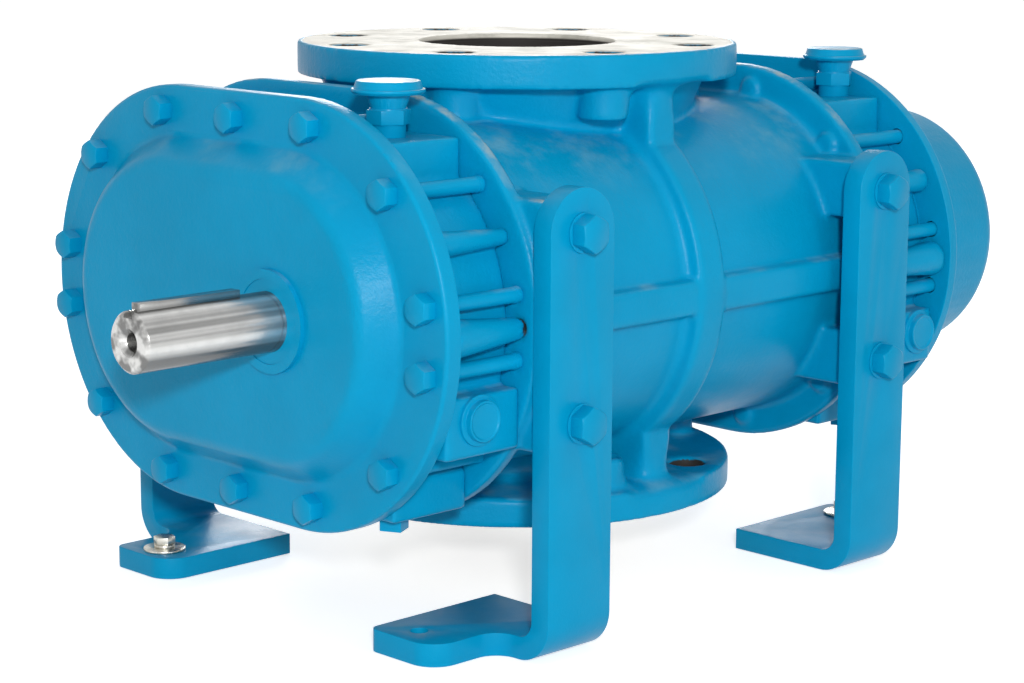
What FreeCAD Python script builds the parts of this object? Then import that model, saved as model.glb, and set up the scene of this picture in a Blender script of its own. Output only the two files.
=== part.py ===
"""Rotary lobe blower: two meshing rotors in a flanged casing between oil-filled ends, on four bent legs.

Lengths are in millimetres, +Z is up, and the drive shaft points along -Y. The origin lies on the floor,
under the middle of the port flanges. Each sub-part is drawn about the plane of the two shafts and then
lifted to the shaft height.
"""
import FreeCAD, Part
import math
import os
import Sketcher
from FreeCAD import Placement, Rotation, Vector

# Driving sizes, each with what it measures
SIZES = {
    "shaft_height": (157.0, "floor to the plane of the shafts"),
    "centre_distance": (90.0, "between the two shafts"),
    "lobe_tip_r": (74.0, "nominal rotor tip radius"),
    "lobe_gap": (0.15, "running clearance taken off each rotor"),
    "chamber_gap": (0.3, "between a rotor tip and the bore"),
    "end_gap": (0.2, "between a rotor end and its headplate"),
    "lobe_core_r": (19.0, "cored hole in each lobe"),
    "lobe_core_place": (43.0, "shaft axis to a cored hole"),
    "casing_half_len": (132.0, "middle of the casing to its end face"),
    "barrel_r": (86.0, "outside of the casing about each shaft"),
    "rim_r": (102.5, "rims of casing, covers and joints about each shaft"),
    "casing_rim_thick": (8.5, "end rim of the casing"),
    "rib_r": (94.0, "middle rib about each shaft"),
    "rib_thick": (20.0, "middle rib along the shafts"),
    "rib_edge_r": (3.0, "rounding of the middle rib"),
    "web_half_span": (104.0, "upright web under each port flange, half width"),
    "cast_fillet_r": (4.5, "concave corners of the casting"),
    "casting_edge_r": (1.0, "outer edges of castings"),
    "side_rib_reach": (138.0, "level side rib, from the middle plane"),
    "side_rib_thick": (18.0, "level side rib, height"),
    "inlet_rise": (118.5, "shaft plane to the upper port face"),
    "outlet_drop": (114.5, "shaft plane to the lower port face"),
    "inlet_flange_thick": (16.5, "upper port flange"),
    "outlet_flange_thick": (15.0, "lower port flange"),
    "port_flange_r": (114.3, "both port flanges"),
    "port_bore_r": (50.8, "both port bores at the face"),
    "port_straight": (22.0, "round stretch of a port before it widens"),
    "port_throat_x": (51.0, "half width of a port at the rotors"),
    "port_throat_y": (78.0, "half length of a port at the rotors"),
    "port_wall": (14.0, "casting round a port"),
    "port_reach": (50.0, "shaft plane to the inner end of a port"),
    "flange_circle_r": (95.25, "circle of the flange holes"),
    "flange_hole_r": (9.525, "flange holes"),
    "flange_hole_turn": (27.0, "first flange hole from the +X direction, degrees"),
    "flange_hole_deep": (30.0, "flange holes where a boss backs them"),
    "flange_boss_r": (13.0, "boss behind a flange hole"),
    "flange_boss_len": (16.0, "boss behind a flange hole, below the flange"),
    "leg_pad_reach": (145.9, "middle plane to the faces that the legs bolt to"),
    "leg_pad_half": (14.5, "leg pad, half height"),
    "leg_y": (112.0, "middle of the casing to the middle of a leg"),
    "leg_bolt_z": (44.25, "leg bolts above and below the shaft plane"),
    "leg_width": (41.3, "flat bar of the legs"),
    "leg_thick": (11.1, "flat bar of the legs"),
    "leg_top": (65.0, "top of a leg above the shaft plane"),
    "leg_bend_r": (8.5, "inside of the bend"),
    "foot_inner_x": (79.0, "middle plane to the inner edge of a foot"),
    "foot_tab_width": (44.45, "foot tab across"),
    "foot_end_y": (174.0, "middle of the casing to the end of a foot tab"),
    "foot_hole_x": (99.0, "middle plane to a foot hole"),
    "foot_hole_y": (160.0, "middle of the casing to a foot hole"),
    "foot_hole_r": (4.4, "foot holes"),
    "foot_corner_r": (14.0, "well rounded corner of a foot tab"),
    "foot_edge_r": (5.0, "other end corner of a foot tab"),
    "foot_fillet_r": (12.0, "inside corner between tab and foot"),
    "leg_bolt_r": (5.56, "leg bolts"),
    "leg_bolt_grip": (18.0, "leg bolts in the casing"),
    "leg_bolt_flats": (15.88, "leg bolt heads across flats"),
    "leg_head_thick": (8.0, "leg bolt heads"),
    "leg_washer_r": (9.5, "leg washers"),
    "leg_washer_thick": (1.0, "leg washers"),
    "hole_clear": (0.4, "round a bolt in a plain hole"),
    "thread_clear": (0.05, "round a screwed or seated part"),
    "cover_bolt_circle": (90.3, "cover bolts about each shaft"),
    "cover_bolt_top": (90.0, "cover bolts on the middle plane"),
    "cover_bolt_r": (3.97, "cover bolts over the thread"),
    "cover_bolt_body_r": (3.7, "cover bolts along the plain body"),
    "cover_bolt_thread": (13.5, "length of thread on a cover bolt"),
    "cover_bolt_tip": (2.6, "bolt tip behind the casing rim"),
    "cover_bolt_flats": (12.7, "cover bolt heads across flats"),
    "cover_head_thick": (7.5, "cover bolt heads"),
    "head_flat": (0.96, "round flat of a hexagon head against its width"),
    "core_r": (84.0, "body of a headplate about each shaft"),
    "drive_plate_thick": (46.0, "drive-end headplate"),
    "gear_plate_thick": (51.0, "gear-end headplate"),
    "sump_r": (70.0, "oil space in a headplate about each shaft"),
    "sump_floor": (12.0, "headplate wall next to the rotors"),
    "bearing_boss_r": (38.5, "boss round a bearing"),
    "bearing_outer_r": (31.0, "bearings"),
    "bearing_track_r": (26.5, "inside of a bearing's outer race"),
    "bearing_inner_r": (19.5, "outside of a bearing's inner race"),
    "bearing_width": (16.0, "bearings"),
    "roller_r": (3.42, "bearing rollers"),
    "roller_count": (10, "rollers in a bearing"),
    "lip_seal_r": (22.0, "lip seals next to the rotors"),
    "lip_seal_width": (7.0, "lip seals"),
    "seal_gap": (0.05, "between a seal and its shaft"),
    "side_boss_r": (9.5, "level side boss at the cover"),
    "side_boss_end_r": (5.2, "level side boss at the casing"),
    "upper_boss_r": (6.4, "raised side boss at the cover"),
    "upper_boss_end_r": (3.8, "raised side boss at the casing"),
    "upper_boss_angle": (27.0, "raised side boss about the shaft, degrees"),
    "boss_web_thick": (5.0, "web behind a raised side boss"),
    "boss_place_r": (91.0, "side bosses about each shaft"),
    "dowel_r": (4.0, "locating dowels"),
    "dowel_half": (8.0, "dowel, half length"),
    "dowel_end_gap": (0.5, "beyond the end of a dowel"),
    "top_pad_z": (84.5, "flat of the breather pad"),
    "top_pad_in": (50.0, "breather pad, inner edge"),
    "top_pad_out": (97.0, "breather pad, outer edge"),
    "sight_pad_x": (137.0, "face of the sight-glass pad"),
    "sight_pad_top": (-27.5, "sight-glass pad, upper edge"),
    "sight_pad_low": (-56.0, "sight-glass pad, lower edge"),
    "lug_out": (101.5, "drain lug, outer face"),
    "lug_in": (61.5, "drain lug, inner face"),
    "lug_top": (-73.0, "drain lug, upper edge"),
    "lug_slope": (12.0, "drain lug, slope up to the headplate"),
    "lug_low": (-91.0, "drain lug, underside"),
    "gasket_thick": (0.8, "cover gaskets"),
    "gasket_edge": (0.5, "gasket inside the headplate's edge"),
    "drive_rim_thick": (8.7, "rim of the drive-end cover"),
    "drive_rise": (16.0, "raised face of the drive-end cover above its rim"),
    "drive_foot_r": (79.0, "foot of the cover's slope about each end centre"),
    "drive_foot_fillet": (5.0, "hollow at the foot of the slope"),
    "drive_edge_r": (9.0, "rounded edge of the raised face"),
    "drive_hollow_r": (60.0, "hollow behind the raised face about each end centre"),
    "drive_face_r": (67.5, "raised face about each end centre"),
    "drive_face_centre": (38.5, "middle plane to the raised face's end centres"),
    "drive_face_wall": (7.5, "face wall of the drive-end cover"),
    "seal_boss_r": (24.5, "ring round the shaft seal"),
    "seal_boss_rise": (2.5, "ring round the shaft seal, above the face"),
    "shaft_seal_r": (20.0, "shaft seal"),
    "shaft_seal_width": (8.0, "shaft seal"),
    "shaft_seal_sink": (0.5, "shaft seal behind the face of its ring"),
    "gear_rim_thick": (7.2, "rim of the gear cover"),
    "dome_length": (84.5, "gear cover beyond its rim"),
    "dome_foot_r": (72.0, "gear cover at its rim about each shaft"),
    "dome_end_r": (69.5, "gear cover at its end about each shaft"),
    "dome_edge_r": (12.0, "rounded edge of the gear cover"),
    "dome_wall": (8.0, "wall of the gear cover"),
    "shaft_end": (284.0, "middle of the casing to the tip of the drive shaft"),
    "shaft_r": (14.2875, "drive shaft outside the cover"),
    "journal_r": (15.0, "shafts in the drive-end bearings"),
    "through_r": (12.7, "shafts in the rotors"),
    "gear_seat_r": (12.5, "shafts in the gear-end bearings and gears"),
    "thread_end_r": (11.0, "threaded ends of the shafts"),
    "shaft_chamfer": (1.5, "edge of the drive shaft"),
    "shaft_shoulder": (8.0, "shaft beyond its drive-end bearing"),
    "shaft_hole_clear": (0.3, "round a shaft where it passes a headplate"),
    "fit_clear": (0.02, "round a shaft in a part that it carries"),
    "centre_hole_r": (4.2, "tapped hole in the shaft end"),
    "centre_hole_deep": (24.0, "tapped hole in the shaft end"),
    "centre_sink_r": (6.6, "countersink of the tapped hole"),
    "key_width": (6.35, "shaft key"),
    "key_stand": (3.1, "key above the shaft"),
    "key_start": (4.5, "shaft tip to the key"),
    "key_length": (56.0, "shaft key"),
    "gear_teeth": (36, "teeth on each timing gear"),
    "gear_start": (190.0, "middle of the casing to the timing gears"),
    "gear_face": (32.0, "timing gears along the shaft"),
    "gear_backlash": (0.16, "between meshing teeth"),
    "gear_key_width": (6.0, "keys in the timing gears"),
    "gear_module": (2.5, "tooth size of the timing gears"),
    "gear_pressure_angle": (20.0, "slope of the teeth, degrees"),
    "gear_tip_r": (47.4, "timing gears over the teeth"),
    "gear_root_r": (41.9, "bottom of the tooth spaces"),
    "spacer_r": (18.0, "spacers behind the gears"),
    "nut_r": (18.0, "locknuts"),
    "nut_thick": (8.0, "locknuts"),
    "nut_notch_half": (2.5, "spanner notches of the locknuts, half width"),
    "slinger_r": (56.0, "oil slinger behind the gears"),
    "drive_slinger_r": (50.0, "oil slinger behind the drive-end cover"),
    "slinger_thick": (2.0, "oil slingers"),
    "slinger_hub_r": (18.5, "hubs of the oil slingers"),
    "slinger_hub": (4.0, "hubs of the oil slingers along the shaft"),
    "breather_x": (74.0, "middle plane to the breathers"),
    "drive_breather_back": (22.0, "cover face of the drive headplate to its breather"),
    "gear_breather_back": (11.0, "cover face of the gear headplate to its breather"),
    "breather_base_r": (8.2, "round foot of a breather"),
    "breather_base_len": (6.0, "round foot of a breather"),
    "breather_flats": (18.0, "hexagon of a breather"),
    "breather_hex_len": (6.6, "hexagon of a breather"),
    "breather_cap_r": (17.3, "breather cap, radius"),
    "breather_bowl_r": (10.5, "bowl of a breather at the cap"),
    "breather_bowl_len": (7.3, "neck and bowl of a breather"),
    "breather_neck_len": (0.7, "neck of a breather above its hexagon"),
    "breather_cap_len": (6.1, "breather cap"),
    "breather_cap_step": (1.2, "steps of the breather cap"),
    "breather_port_r": (5.0, "hole under a breather"),
    "breather_port_deep": (27.0, "hole under a breather into the oil space"),
    "drive_sight_back": (20.0, "cover face of the drive headplate to its sight glass"),
    "gear_sight_back": (12.8, "cover face of the gear headplate to its sight glass"),
    "sight_z": (-40.5, "sight glasses from the shaft plane"),
    "sight_r": (12.5, "rim of a sight glass"),
    "sight_flats": (21.0, "hexagon of a sight glass"),
    "sight_lens_r": (6.5, "pane of a sight glass"),
    "sight_bore_r": (5.0, "bore behind the pane"),
    "sight_stand": (3.5, "sight glass outside its pad"),
    "sight_rim_thick": (1.4, "round rim of a sight glass"),
    "sight_pane_seat": (1.8, "pad to the back of the pane"),
    "sight_pane_thick": (1.0, "pane of a sight glass"),
    "small_edge_r": (0.4, "edges of small fittings"),
    "sight_port_r": (7.0, "hole behind a sight glass"),
    "sight_port_deep": (40.0, "hole behind a sight glass into the oil space"),
    "drain_x": (87.7, "middle plane to a drain plug"),
    "drain_back": (12.5, "cover face of a headplate to its drain plug"),
    "drain_square": (10.7, "square head of a drain plug"),
    "drain_head": (7.0, "square head of a drain plug"),
    "drain_port_r": (4.5, "drain hole"),
    "drain_port_deep": (39.0, "drain hole into the oil space"),
    "drain_turn": (27.0, "how the square head ends up turned, degrees"),
    "plug_r": (9.0, "flush pipe plugs"),
    "plug_deep": (10.0, "flush pipe plugs"),
    "plug_stand": (0.5, "pipe plugs outside their pads"),
    "plug_socket": (7.9, "hexagon socket of a pipe plug across flats"),
}

RIGHT, LEFT = 1, -1
COVER_BOLT_ANGLES = (83.4, 44.9, 9.8, -9.8, -44.9, -83.4)
FLANGE_HOLES = 8
OPEN_HOLES = (0, 4)
WAIST_STEPS = 10
WAIST_SPREAD = 1.5
OVAL_END_SHARE = 1.09
FLANK_POINTS = 5
HEAD_SLOPE = math.tan(math.radians(30))
HALF_TURN = math.pi

doc = FreeCAD.newDocument("LobeBlower")
sheet = doc.addObject("Spreadsheet::Sheet", "dims")


class SheetReader:
    """Reads a driving size from the sheet by its name."""

    def __getattr__(self, name):
        return float(sheet.get(name))


s = SheetReader()
parts = []


def fill_sheet():
    """Write every driving size into the sheet, one row each."""
    for row, (name, (value, note)) in enumerate(SIZES.items(), 1):
        sheet.set(f"A{row}", name)
        sheet.set(f"B{row}", str(value))
        sheet.set(f"C{row}", note)
        sheet.setAlias(f"B{row}", name)
    doc.recompute()


def value(rule):
    """Work out a rule over the sheet's names."""
    return float(sheet.evalExpression(rule))


def polar(radius, degrees):
    """Return the plane coordinates of a point at this radius and angle."""
    angle = math.radians(degrees)
    return radius * math.cos(angle), radius * math.sin(angle)


def lifted(obj):
    """Lift a sub-part from the plane of the shafts to its height above the floor."""
    obj.Placement = Placement(Vector(0, 0, s.shaft_height), Rotation())
    obj.setExpression("Placement.Base.z", "dims.shaft_height")


def new_body(name, keep=True):
    """Start a sub-part drawn about the plane of the shafts."""
    body = doc.addObject("PartDesign::Body", name)
    body.Label = name
    lifted(body)
    if keep:
        parts.append(body)
    return body


def sketch(body, plane, offset=None, across=None, up=None):
    """Lay a sketch on one of the body's own planes, moved along its normal, across it and up it."""
    drawing = body.newObject("Sketcher::SketchObject", "Sketch")
    support = next(f for f in body.Origin.OriginFeatures if f.Role == plane)
    drawing.AttachmentSupport = [(support, "")]
    drawing.MapMode = "FlatFace"
    for direction, rule in (("x", across), ("y", up), ("z", offset)):
        if rule:
            drawing.setExpression(f"AttachmentOffset.Base.{direction}", rule)
    return drawing


def line(x1, y1, x2, y2):
    """Return a straight sketch line."""
    return Part.LineSegment(Vector(x1, y1, 0), Vector(x2, y2, 0))


def draw(drawing, edges):
    """Add a chain of edges to a sketch."""
    for edge in edges:
        drawing.addGeometry(edge, False)
    return drawing


def circle(drawing, x, y, radius_rule):
    """Add a circle whose radius follows the sheet."""
    radius = value(radius_rule)
    index = drawing.addGeometry(Part.Circle(Vector(x, y, 0), Vector(0, 0, 1), radius), False)
    rule = drawing.addConstraint(Sketcher.Constraint("Radius", index, radius))
    drawing.setExpression(f"Constraints[{rule}]", radius_rule)
    return drawing


def rounded(corners):
    """Return the edges of a closed outline through (x, y, radius) corners, each rounded by its radius."""
    count = len(corners)
    starts, ends, arcs = [], [], []
    for i, (x, y, radius) in enumerate(corners):
        corner = Vector(x, y, 0)
        before = (Vector(*corners[i - 1][:2], 0) - corner).normalize()
        after = (Vector(*corners[(i + 1) % count][:2], 0) - corner).normalize()
        half = before.getAngle(after) / 2
        if radius <= 0:
            starts.append(corner)
            ends.append(corner)
            arcs.append(None)
            continue
        reach = radius / math.tan(half)
        middle = corner + (before + after).normalize() * (radius / math.sin(half) - radius)
        starts.append(corner + before * reach)
        ends.append(corner + after * reach)
        arcs.append(Part.Arc(starts[-1], middle, ends[-1]))
    edges = []
    for i in range(count):
        if arcs[i]:
            edges.append(arcs[i])
        leave, arrive = ends[i], starts[(i + 1) % count]
        if leave.distanceToPoint(arrive) > 1e-4:
            edges.append(Part.LineSegment(leave, arrive))
    return edges


def block(x1, y1, x2, y2, radius=0.0):
    """Return the outline of a rectangle with equal corners."""
    return rounded([(x1, y1, radius), (x2, y1, radius), (x2, y2, radius), (x1, y2, radius)])


def stadium(half, radius):
    """Return the outline of two half circles joined by straights."""
    right = Part.Circle(Vector(half, 0, 0), Vector(0, 0, 1), radius)
    left = Part.Circle(Vector(-half, 0, 0), Vector(0, 0, 1), radius)
    return [
        Part.ArcOfCircle(right, -HALF_TURN / 2, HALF_TURN / 2),
        line(half, radius, -half, radius),
        Part.ArcOfCircle(left, HALF_TURN / 2, 3 * HALF_TURN / 2),
        line(-half, -radius, half, -radius),
    ]


def figure_eight(half, radius):
    """Return the outline of two crossing circles, the shape of the rotor chamber."""
    cusp = HALF_TURN - math.acos(half / radius)
    right = Part.Circle(Vector(half, 0, 0), Vector(0, 0, 1), radius)
    left = Part.Circle(Vector(-half, 0, 0), Vector(0, 0, 1), radius)
    return [
        Part.ArcOfCircle(right, -cusp, cusp),
        Part.ArcOfCircle(left, HALF_TURN - cusp, HALF_TURN + cusp),
    ]


def pad(body, drawing, length, reverse=False, both=False, taper=None):
    """Raise a sketch into the sub-part."""
    feature = body.newObject("PartDesign::Pad", "Pad")
    feature.Profile = drawing
    feature.setExpression("Length", length)
    feature.Reversed = reverse
    feature.SideType = "Symmetric" if both else "One side"
    if taper:
        feature.setExpression("TaperAngle", taper)
    return feature


def pocket(body, drawing, length, reverse=False, both=False):
    """Cut a sketch into the sub-part."""
    feature = body.newObject("PartDesign::Pocket", "Pocket")
    feature.Profile = drawing
    feature.setExpression("Length", length)
    feature.Reversed = reverse
    feature.SideType = "Symmetric" if both else "One side"
    return feature


def turn(body, drawing, degrees=360, kind="Revolution", axis="H_Axis"):
    """Turn a sketch about one of its own axes."""
    feature = body.newObject(f"PartDesign::{kind}", kind)
    feature.Profile = drawing
    feature.ReferenceAxis = (drawing, [axis])
    feature.Angle = degrees
    return feature


def mirrored(body, features, plane):
    """Repeat features on the other side of one of the body's own planes."""
    mirror = next(f for f in body.Origin.OriginFeatures if f.Role == plane)
    feature = body.newObject("PartDesign::Mirrored", "Mirrored")
    feature.Originals = features
    feature.MirrorPlane = (mirror, [""])
    body.Tip = feature
    return feature


def round_ended(body, corners, half, half_rule):
    """Wrap a half profile round a stadium: half a turn at each end and a straight stretch between.

    The corners are (y, distance from the shaft axis, rounding), first and last on the axis.
    """
    end = turn(body, draw(sketch(body, "YZ_Plane", half_rule), rounded(corners)), 180)
    mirrored(body, [end], "YZ_Plane")
    whole = corners[1:-1] + [(y, -out, radius) for y, out, radius in reversed(corners[1:-1])]
    pad(body, draw(sketch(body, "YZ_Plane"), rounded(whole)), f"2 * ({half_rule})", both=True)


def round_places():
    """Return the places of the cover bolts about the shaft plane, seen from the drive end."""
    places = [(0.0, s.cover_bolt_top), (0.0, -s.cover_bolt_top)]
    for degrees in COVER_BOLT_ANGLES:
        across, up = polar(s.cover_bolt_circle, degrees)
        places.append((s.centre_distance / 2 + across, up))
        places.append((-s.centre_distance / 2 - across, up))
    return places


def arc_ring(points):
    """Return a closed ring of arcs, each through three of the points."""
    return [
        Part.Arc(points[i], points[i + 1], points[(i + 2) % len(points)])
        for i in range(0, len(points), 2)
    ]


def hexagon(flats, x=0.0, y=0.0, corner_up=True):
    """Return the outline of a hexagon from its size across flats."""
    radius = flats / math.sqrt(3)
    first = 90 if corner_up else 0
    corners = [polar(radius, first + 60 * i) for i in range(6)]
    return rounded([(x + px, y + py, 0) for px, py in corners])


def group(name, source, placements):
    """Keep copies of one piece, at these placements, as a single group of separate solids."""
    shapes = []
    for place in placements:
        copy = source.Shape.copy()
        copy.Placement = place.multiply(copy.Placement)
        shapes.append(copy)
    feature = doc.addObject("Part::Feature", name)
    feature.Label = name
    feature.Shape = Part.makeCompound(shapes)
    parts.append(feature)
    return feature


def mirror_image(name, source, normal):
    """Make the opposite hand of a sub-part."""
    feature = doc.addObject("Part::Mirroring", name)
    feature.Label = name
    feature.Source = source
    feature.Base = Vector(0, 0, 0)
    feature.Normal = normal
    parts.append(feature)
    return feature


class End:
    """One end of the machine, the drive end towards -Y or the gear end towards +Y."""

    def __init__(self, name, sign, journal):
        self.name = name
        self.sign = sign
        self.plate = f"dims.{name}_plate_thick"
        self.rim = f"dims.{name}_rim_thick"
        self.journal = journal
        self.floor = "dims.casing_half_len + dims.sump_floor"
        self.bearing = f"{self.floor} + dims.lip_seal_width + 1"
        self.face = f"dims.casing_half_len + {self.plate}"
        self.cover = f"{self.face} + dims.gasket_thick"
        self.cover_front = f"{self.cover} + {self.rim}"
        self.breather = f"{self.face} - dims.{name}_breather_back"
        self.sight = f"{self.face} - dims.{name}_sight_back"

    def sketch(self, body, station, across=None, up=None):
        """Lay an upright sketch at a distance out from the middle of the casing."""
        return sketch(body, "XZ_Plane", f"{-self.sign} * ({station})", across, up)

    def raise_in(self, body, drawing, length, taper=None):
        """Raise a sketch towards the middle of the casing."""
        return pad(body, drawing, length, reverse=self.sign < 0, taper=taper)

    def raise_out(self, body, drawing, length):
        """Raise a sketch away from the middle of the casing."""
        return pad(body, drawing, length, reverse=self.sign > 0)

    def cut_in(self, body, drawing, length):
        """Cut a sketch towards the middle of the casing."""
        return pocket(body, drawing, length, reverse=self.sign > 0)

    def cut_out(self, body, drawing, length):
        """Cut a sketch away from the middle of the casing."""
        return pocket(body, drawing, length, reverse=self.sign < 0)

    def out(self, station):
        """Return the Y coordinate of a distance out from the middle of the casing."""
        return self.sign * value(station)


HALF = "dims.centre_distance / 2"


def port_sides():
    """Return each port's direction with the rules for its face and its flange."""
    return (
        (1, "dims.inlet_rise", "dims.inlet_flange_thick"),
        (-1, "-dims.outlet_drop", "dims.outlet_flange_thick"),
    )


# Casing
def casing_skin(body):
    """Barrel, end rims and middle rib, wrapped round the two bores in one profile."""
    length, rim, barrel = s.casing_half_len, s.rim_r, s.barrel_r
    half_rib, inner = s.rib_thick / 2, s.casing_half_len - s.casing_rim_thick
    half_side = [
        (half_rib, s.rib_r, s.rib_edge_r),
        (half_rib, barrel, s.cast_fillet_r),
        (inner, barrel, s.cast_fillet_r),
        (inner, rim, s.casting_edge_r),
        (length, rim, s.casting_edge_r),
        (length, 0, 0),
    ]
    other_side = [(-y, out, radius) for y, out, radius in reversed(half_side)]
    round_ended(body, other_side + half_side, s.centre_distance / 2, HALF)


def oval(across, along):
    """Return four arcs close to an ellipse that is longer along the shafts than across them."""
    end_r = OVAL_END_SHARE * across ** 2 / along
    side_r = ((along - end_r) ** 2 + across ** 2 - end_r ** 2) / (2 * (across - end_r))
    meet = math.atan2(along - end_r, side_r - across)
    x, y = across - side_r * (1 - math.cos(meet)), side_r * math.sin(meet)
    corners = [(x, -y), (across, 0), (x, y), (0, along), (-x, y), (-across, 0), (-x, -y), (0, -along)]
    return arc_ring([Vector(*corner, 0) for corner in corners])


def port_towers(body):
    """Upright web, oval necks and round flanges of the two ports."""
    span, half_rib = s.web_half_span, s.rib_thick / 2
    whole, base = "dims.inlet_rise + dims.outlet_drop - 2", "1 - dims.outlet_drop"
    web = sketch(body, "XY_Plane", base)
    pad(body, draw(web, block(-span, -half_rib, span, half_rib, s.rib_edge_r)), whole)
    neck = sketch(body, "XY_Plane", base)
    draw(neck, oval(s.port_throat_x + s.port_wall, s.port_throat_y + s.port_wall))
    pad(body, neck, whole)
    for up, face, thick in port_sides():
        flange = circle(sketch(body, "XY_Plane", face), 0, 0, "dims.port_flange_r")
        pad(body, flange, thick, reverse=up > 0)


def flange_places(skipped=()):
    """Return the places of the flange holes."""
    turns = [s.flange_hole_turn + i * 360 / FLANGE_HOLES for i in range(FLANGE_HOLES) if i not in skipped]
    return [polar(s.flange_circle_r, degrees) for degrees in turns]


def flange_bosses(body):
    """Bosses that back the flange holes next to the casting."""
    for up, face, thick in port_sides():
        bosses = sketch(body, "XY_Plane", f"{face} - {up} * {thick}")
        for x, y in flange_places(OPEN_HOLES):
            circle(bosses, x, y, "dims.flange_boss_r")
        pad(body, bosses, "dims.flange_boss_len", reverse=up > 0)


def leg_pads(body):
    """Faces for the legs next to the end rims, and the level ribs between them."""
    inner, outer = s.leg_y - s.leg_width / 4, s.casing_half_len - s.casing_rim_thick / 2
    for y in (1, -1):
        for z in (1, -1):
            low = z * s.leg_bolt_z - s.leg_pad_half
            face = block(y * inner, low, y * outer, low + 2 * s.leg_pad_half, s.casting_edge_r)
            pad(body, draw(sketch(body, "YZ_Plane"), face), "2 * dims.leg_pad_reach", both=True)
    reach, half = s.side_rib_reach, s.side_rib_thick / 2
    rib = draw(sketch(body, "XZ_Plane"), block(-reach, -half, reach, half, s.rib_edge_r))
    pad(body, rib, "2 * dims.leg_y", both=True)


def rotor_chamber(body):
    """The two crossing bores and the ports that open into them."""
    bores = sketch(body, "XZ_Plane")
    draw(bores, figure_eight(s.centre_distance / 2, s.lobe_tip_r + s.chamber_gap))
    pocket(body, bores, "2 * dims.casing_half_len + 2", both=True)
    for up, face, thick in port_sides():
        mouth = circle(sketch(body, "XY_Plane", face), 0, 0, "dims.port_bore_r")
        pocket(body, mouth, "dims.port_straight", reverse=up < 0)
        throat = sketch(body, "XY_Plane", f"{face} - {up} * dims.port_straight")
        draw(throat, oval(s.port_throat_x, s.port_throat_y))
        pocket(body, throat, f"{up} * {face} - dims.port_straight - dims.port_reach", reverse=up < 0)


def casing_holes(body):
    """Flange holes, leg bolt holes, cover bolt holes and dowel holes, and the flats beside the legs."""
    for up, face, thick in port_sides():
        holes = sketch(body, "XY_Plane", face)
        for x, y in flange_places():
            circle(holes, x, y, "dims.flange_hole_r")
        pocket(body, holes, "dims.flange_hole_deep", reverse=up < 0)
    for side in (RIGHT, LEFT):
        reach = f"{side} * dims.leg_pad_reach"
        flat = block(-s.casing_half_len - 1, -s.rim_r, s.casing_half_len + 1, s.rim_r)
        pocket(body, draw(sketch(body, "YZ_Plane", reach), flat), "dims.rim_r", reverse=side > 0)
        taps = sketch(body, "YZ_Plane", reach)
        for y in (s.leg_y, -s.leg_y):
            for z in (s.leg_bolt_z, -s.leg_bolt_z):
                circle(taps, y, z, "dims.leg_bolt_r + dims.thread_clear")
        pocket(body, taps, "dims.leg_bolt_grip + 1", reverse=side < 0)
    for end in (DRIVE, GEAR):
        rim = end.sketch(body, "dims.casing_half_len")
        for x, z in round_places():
            circle(rim, x, z, "dims.cover_bolt_r + dims.thread_clear")
        end.cut_in(body, rim, "dims.casing_rim_thick + dims.cast_fillet_r")
        end.cut_in(body, dowel_holes(body, end), "dims.dowel_half + dims.dowel_end_gap")


def dowel_holes(body, end):
    """Draw the two dowel holes in the joint between the casing and a headplate."""
    drawing = end.sketch(body, "dims.casing_half_len")
    across = s.centre_distance / 2 + s.boss_place_r
    for x in (across, -across):
        circle(drawing, x, 0, "dims.dowel_r + dims.thread_clear")
    return drawing


def make_casing():
    """The rotor casing, one casting with both port flanges."""
    body = new_body("rotor_casing")
    casing_skin(body)
    port_towers(body)
    flange_bosses(body)
    leg_pads(body)
    rotor_chamber(body)
    casing_holes(body)


# Headplates
def headplate_blocks(body, end):
    """Breather pads, sight-glass pads and drain lugs on both sides of a headplate."""
    edge = s.casting_edge_r
    blocks = (
        [(s.top_pad_in, 0, 0), (s.top_pad_out, 0, 0), (s.top_pad_out, s.top_pad_z, edge),
         (s.top_pad_in, s.top_pad_z, edge)],
        [(s.core_r, s.sight_pad_low, 0), (s.sight_pad_x, s.sight_pad_low, edge),
         (s.sight_pad_x, s.sight_pad_top, edge), (s.core_r, s.sight_pad_top, 0)],
        [(s.lug_in, s.lug_low, edge), (s.lug_out, s.lug_low, edge), (s.lug_out, s.lug_top, 2 * edge),
         (s.lug_out - s.lug_slope, s.lug_top + s.lug_slope, 0), (s.lug_in, s.lug_top + s.lug_slope, 0)],
    )
    for corners in blocks:
        for side in (RIGHT, LEFT):
            drawing = end.sketch(body, end.face)
            draw(drawing, rounded([(side * x, z, radius) for x, z, radius in corners]))
            end.raise_in(body, drawing, end.plate)


def headplate_bosses(body, end):
    """Tapered bosses between the cover bolts, thick at the cover and thin at the casing."""
    for big, small, degrees in (
        ("dims.side_boss_r", "dims.side_boss_end_r", 0.0),
        ("dims.upper_boss_r", "dims.upper_boss_end_r", s.upper_boss_angle),
    ):
        across, up = polar(s.boss_place_r, degrees)
        drawing = end.sketch(body, end.face)
        for side in (RIGHT, LEFT):
            circle(drawing, side * (s.centre_distance / 2 + across), up, big)
        end.raise_in(body, drawing, end.plate, taper=f"-atan(({big} - {small}) / {end.plate})")


def boss_webs(body, end):
    """Webs that join the raised side bosses to the body of a headplate."""
    drawing = end.sketch(body, end.face)
    wide, deep = polar(s.boss_web_thick / 2, s.upper_boss_angle + 90)
    corners = []
    for reach, sense in ((s.core_r - 1, 1), (s.core_r - 1, -1), (s.boss_place_r, -1), (s.boss_place_r, 1)):
        across, up = polar(reach, s.upper_boss_angle)
        corners.append((s.centre_distance / 2 + across + sense * wide, up + sense * deep))
    for side in (RIGHT, LEFT):
        draw(drawing, rounded([(side * x, z, 0) for x, z in corners]))
    end.raise_in(body, drawing, end.plate)


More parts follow.
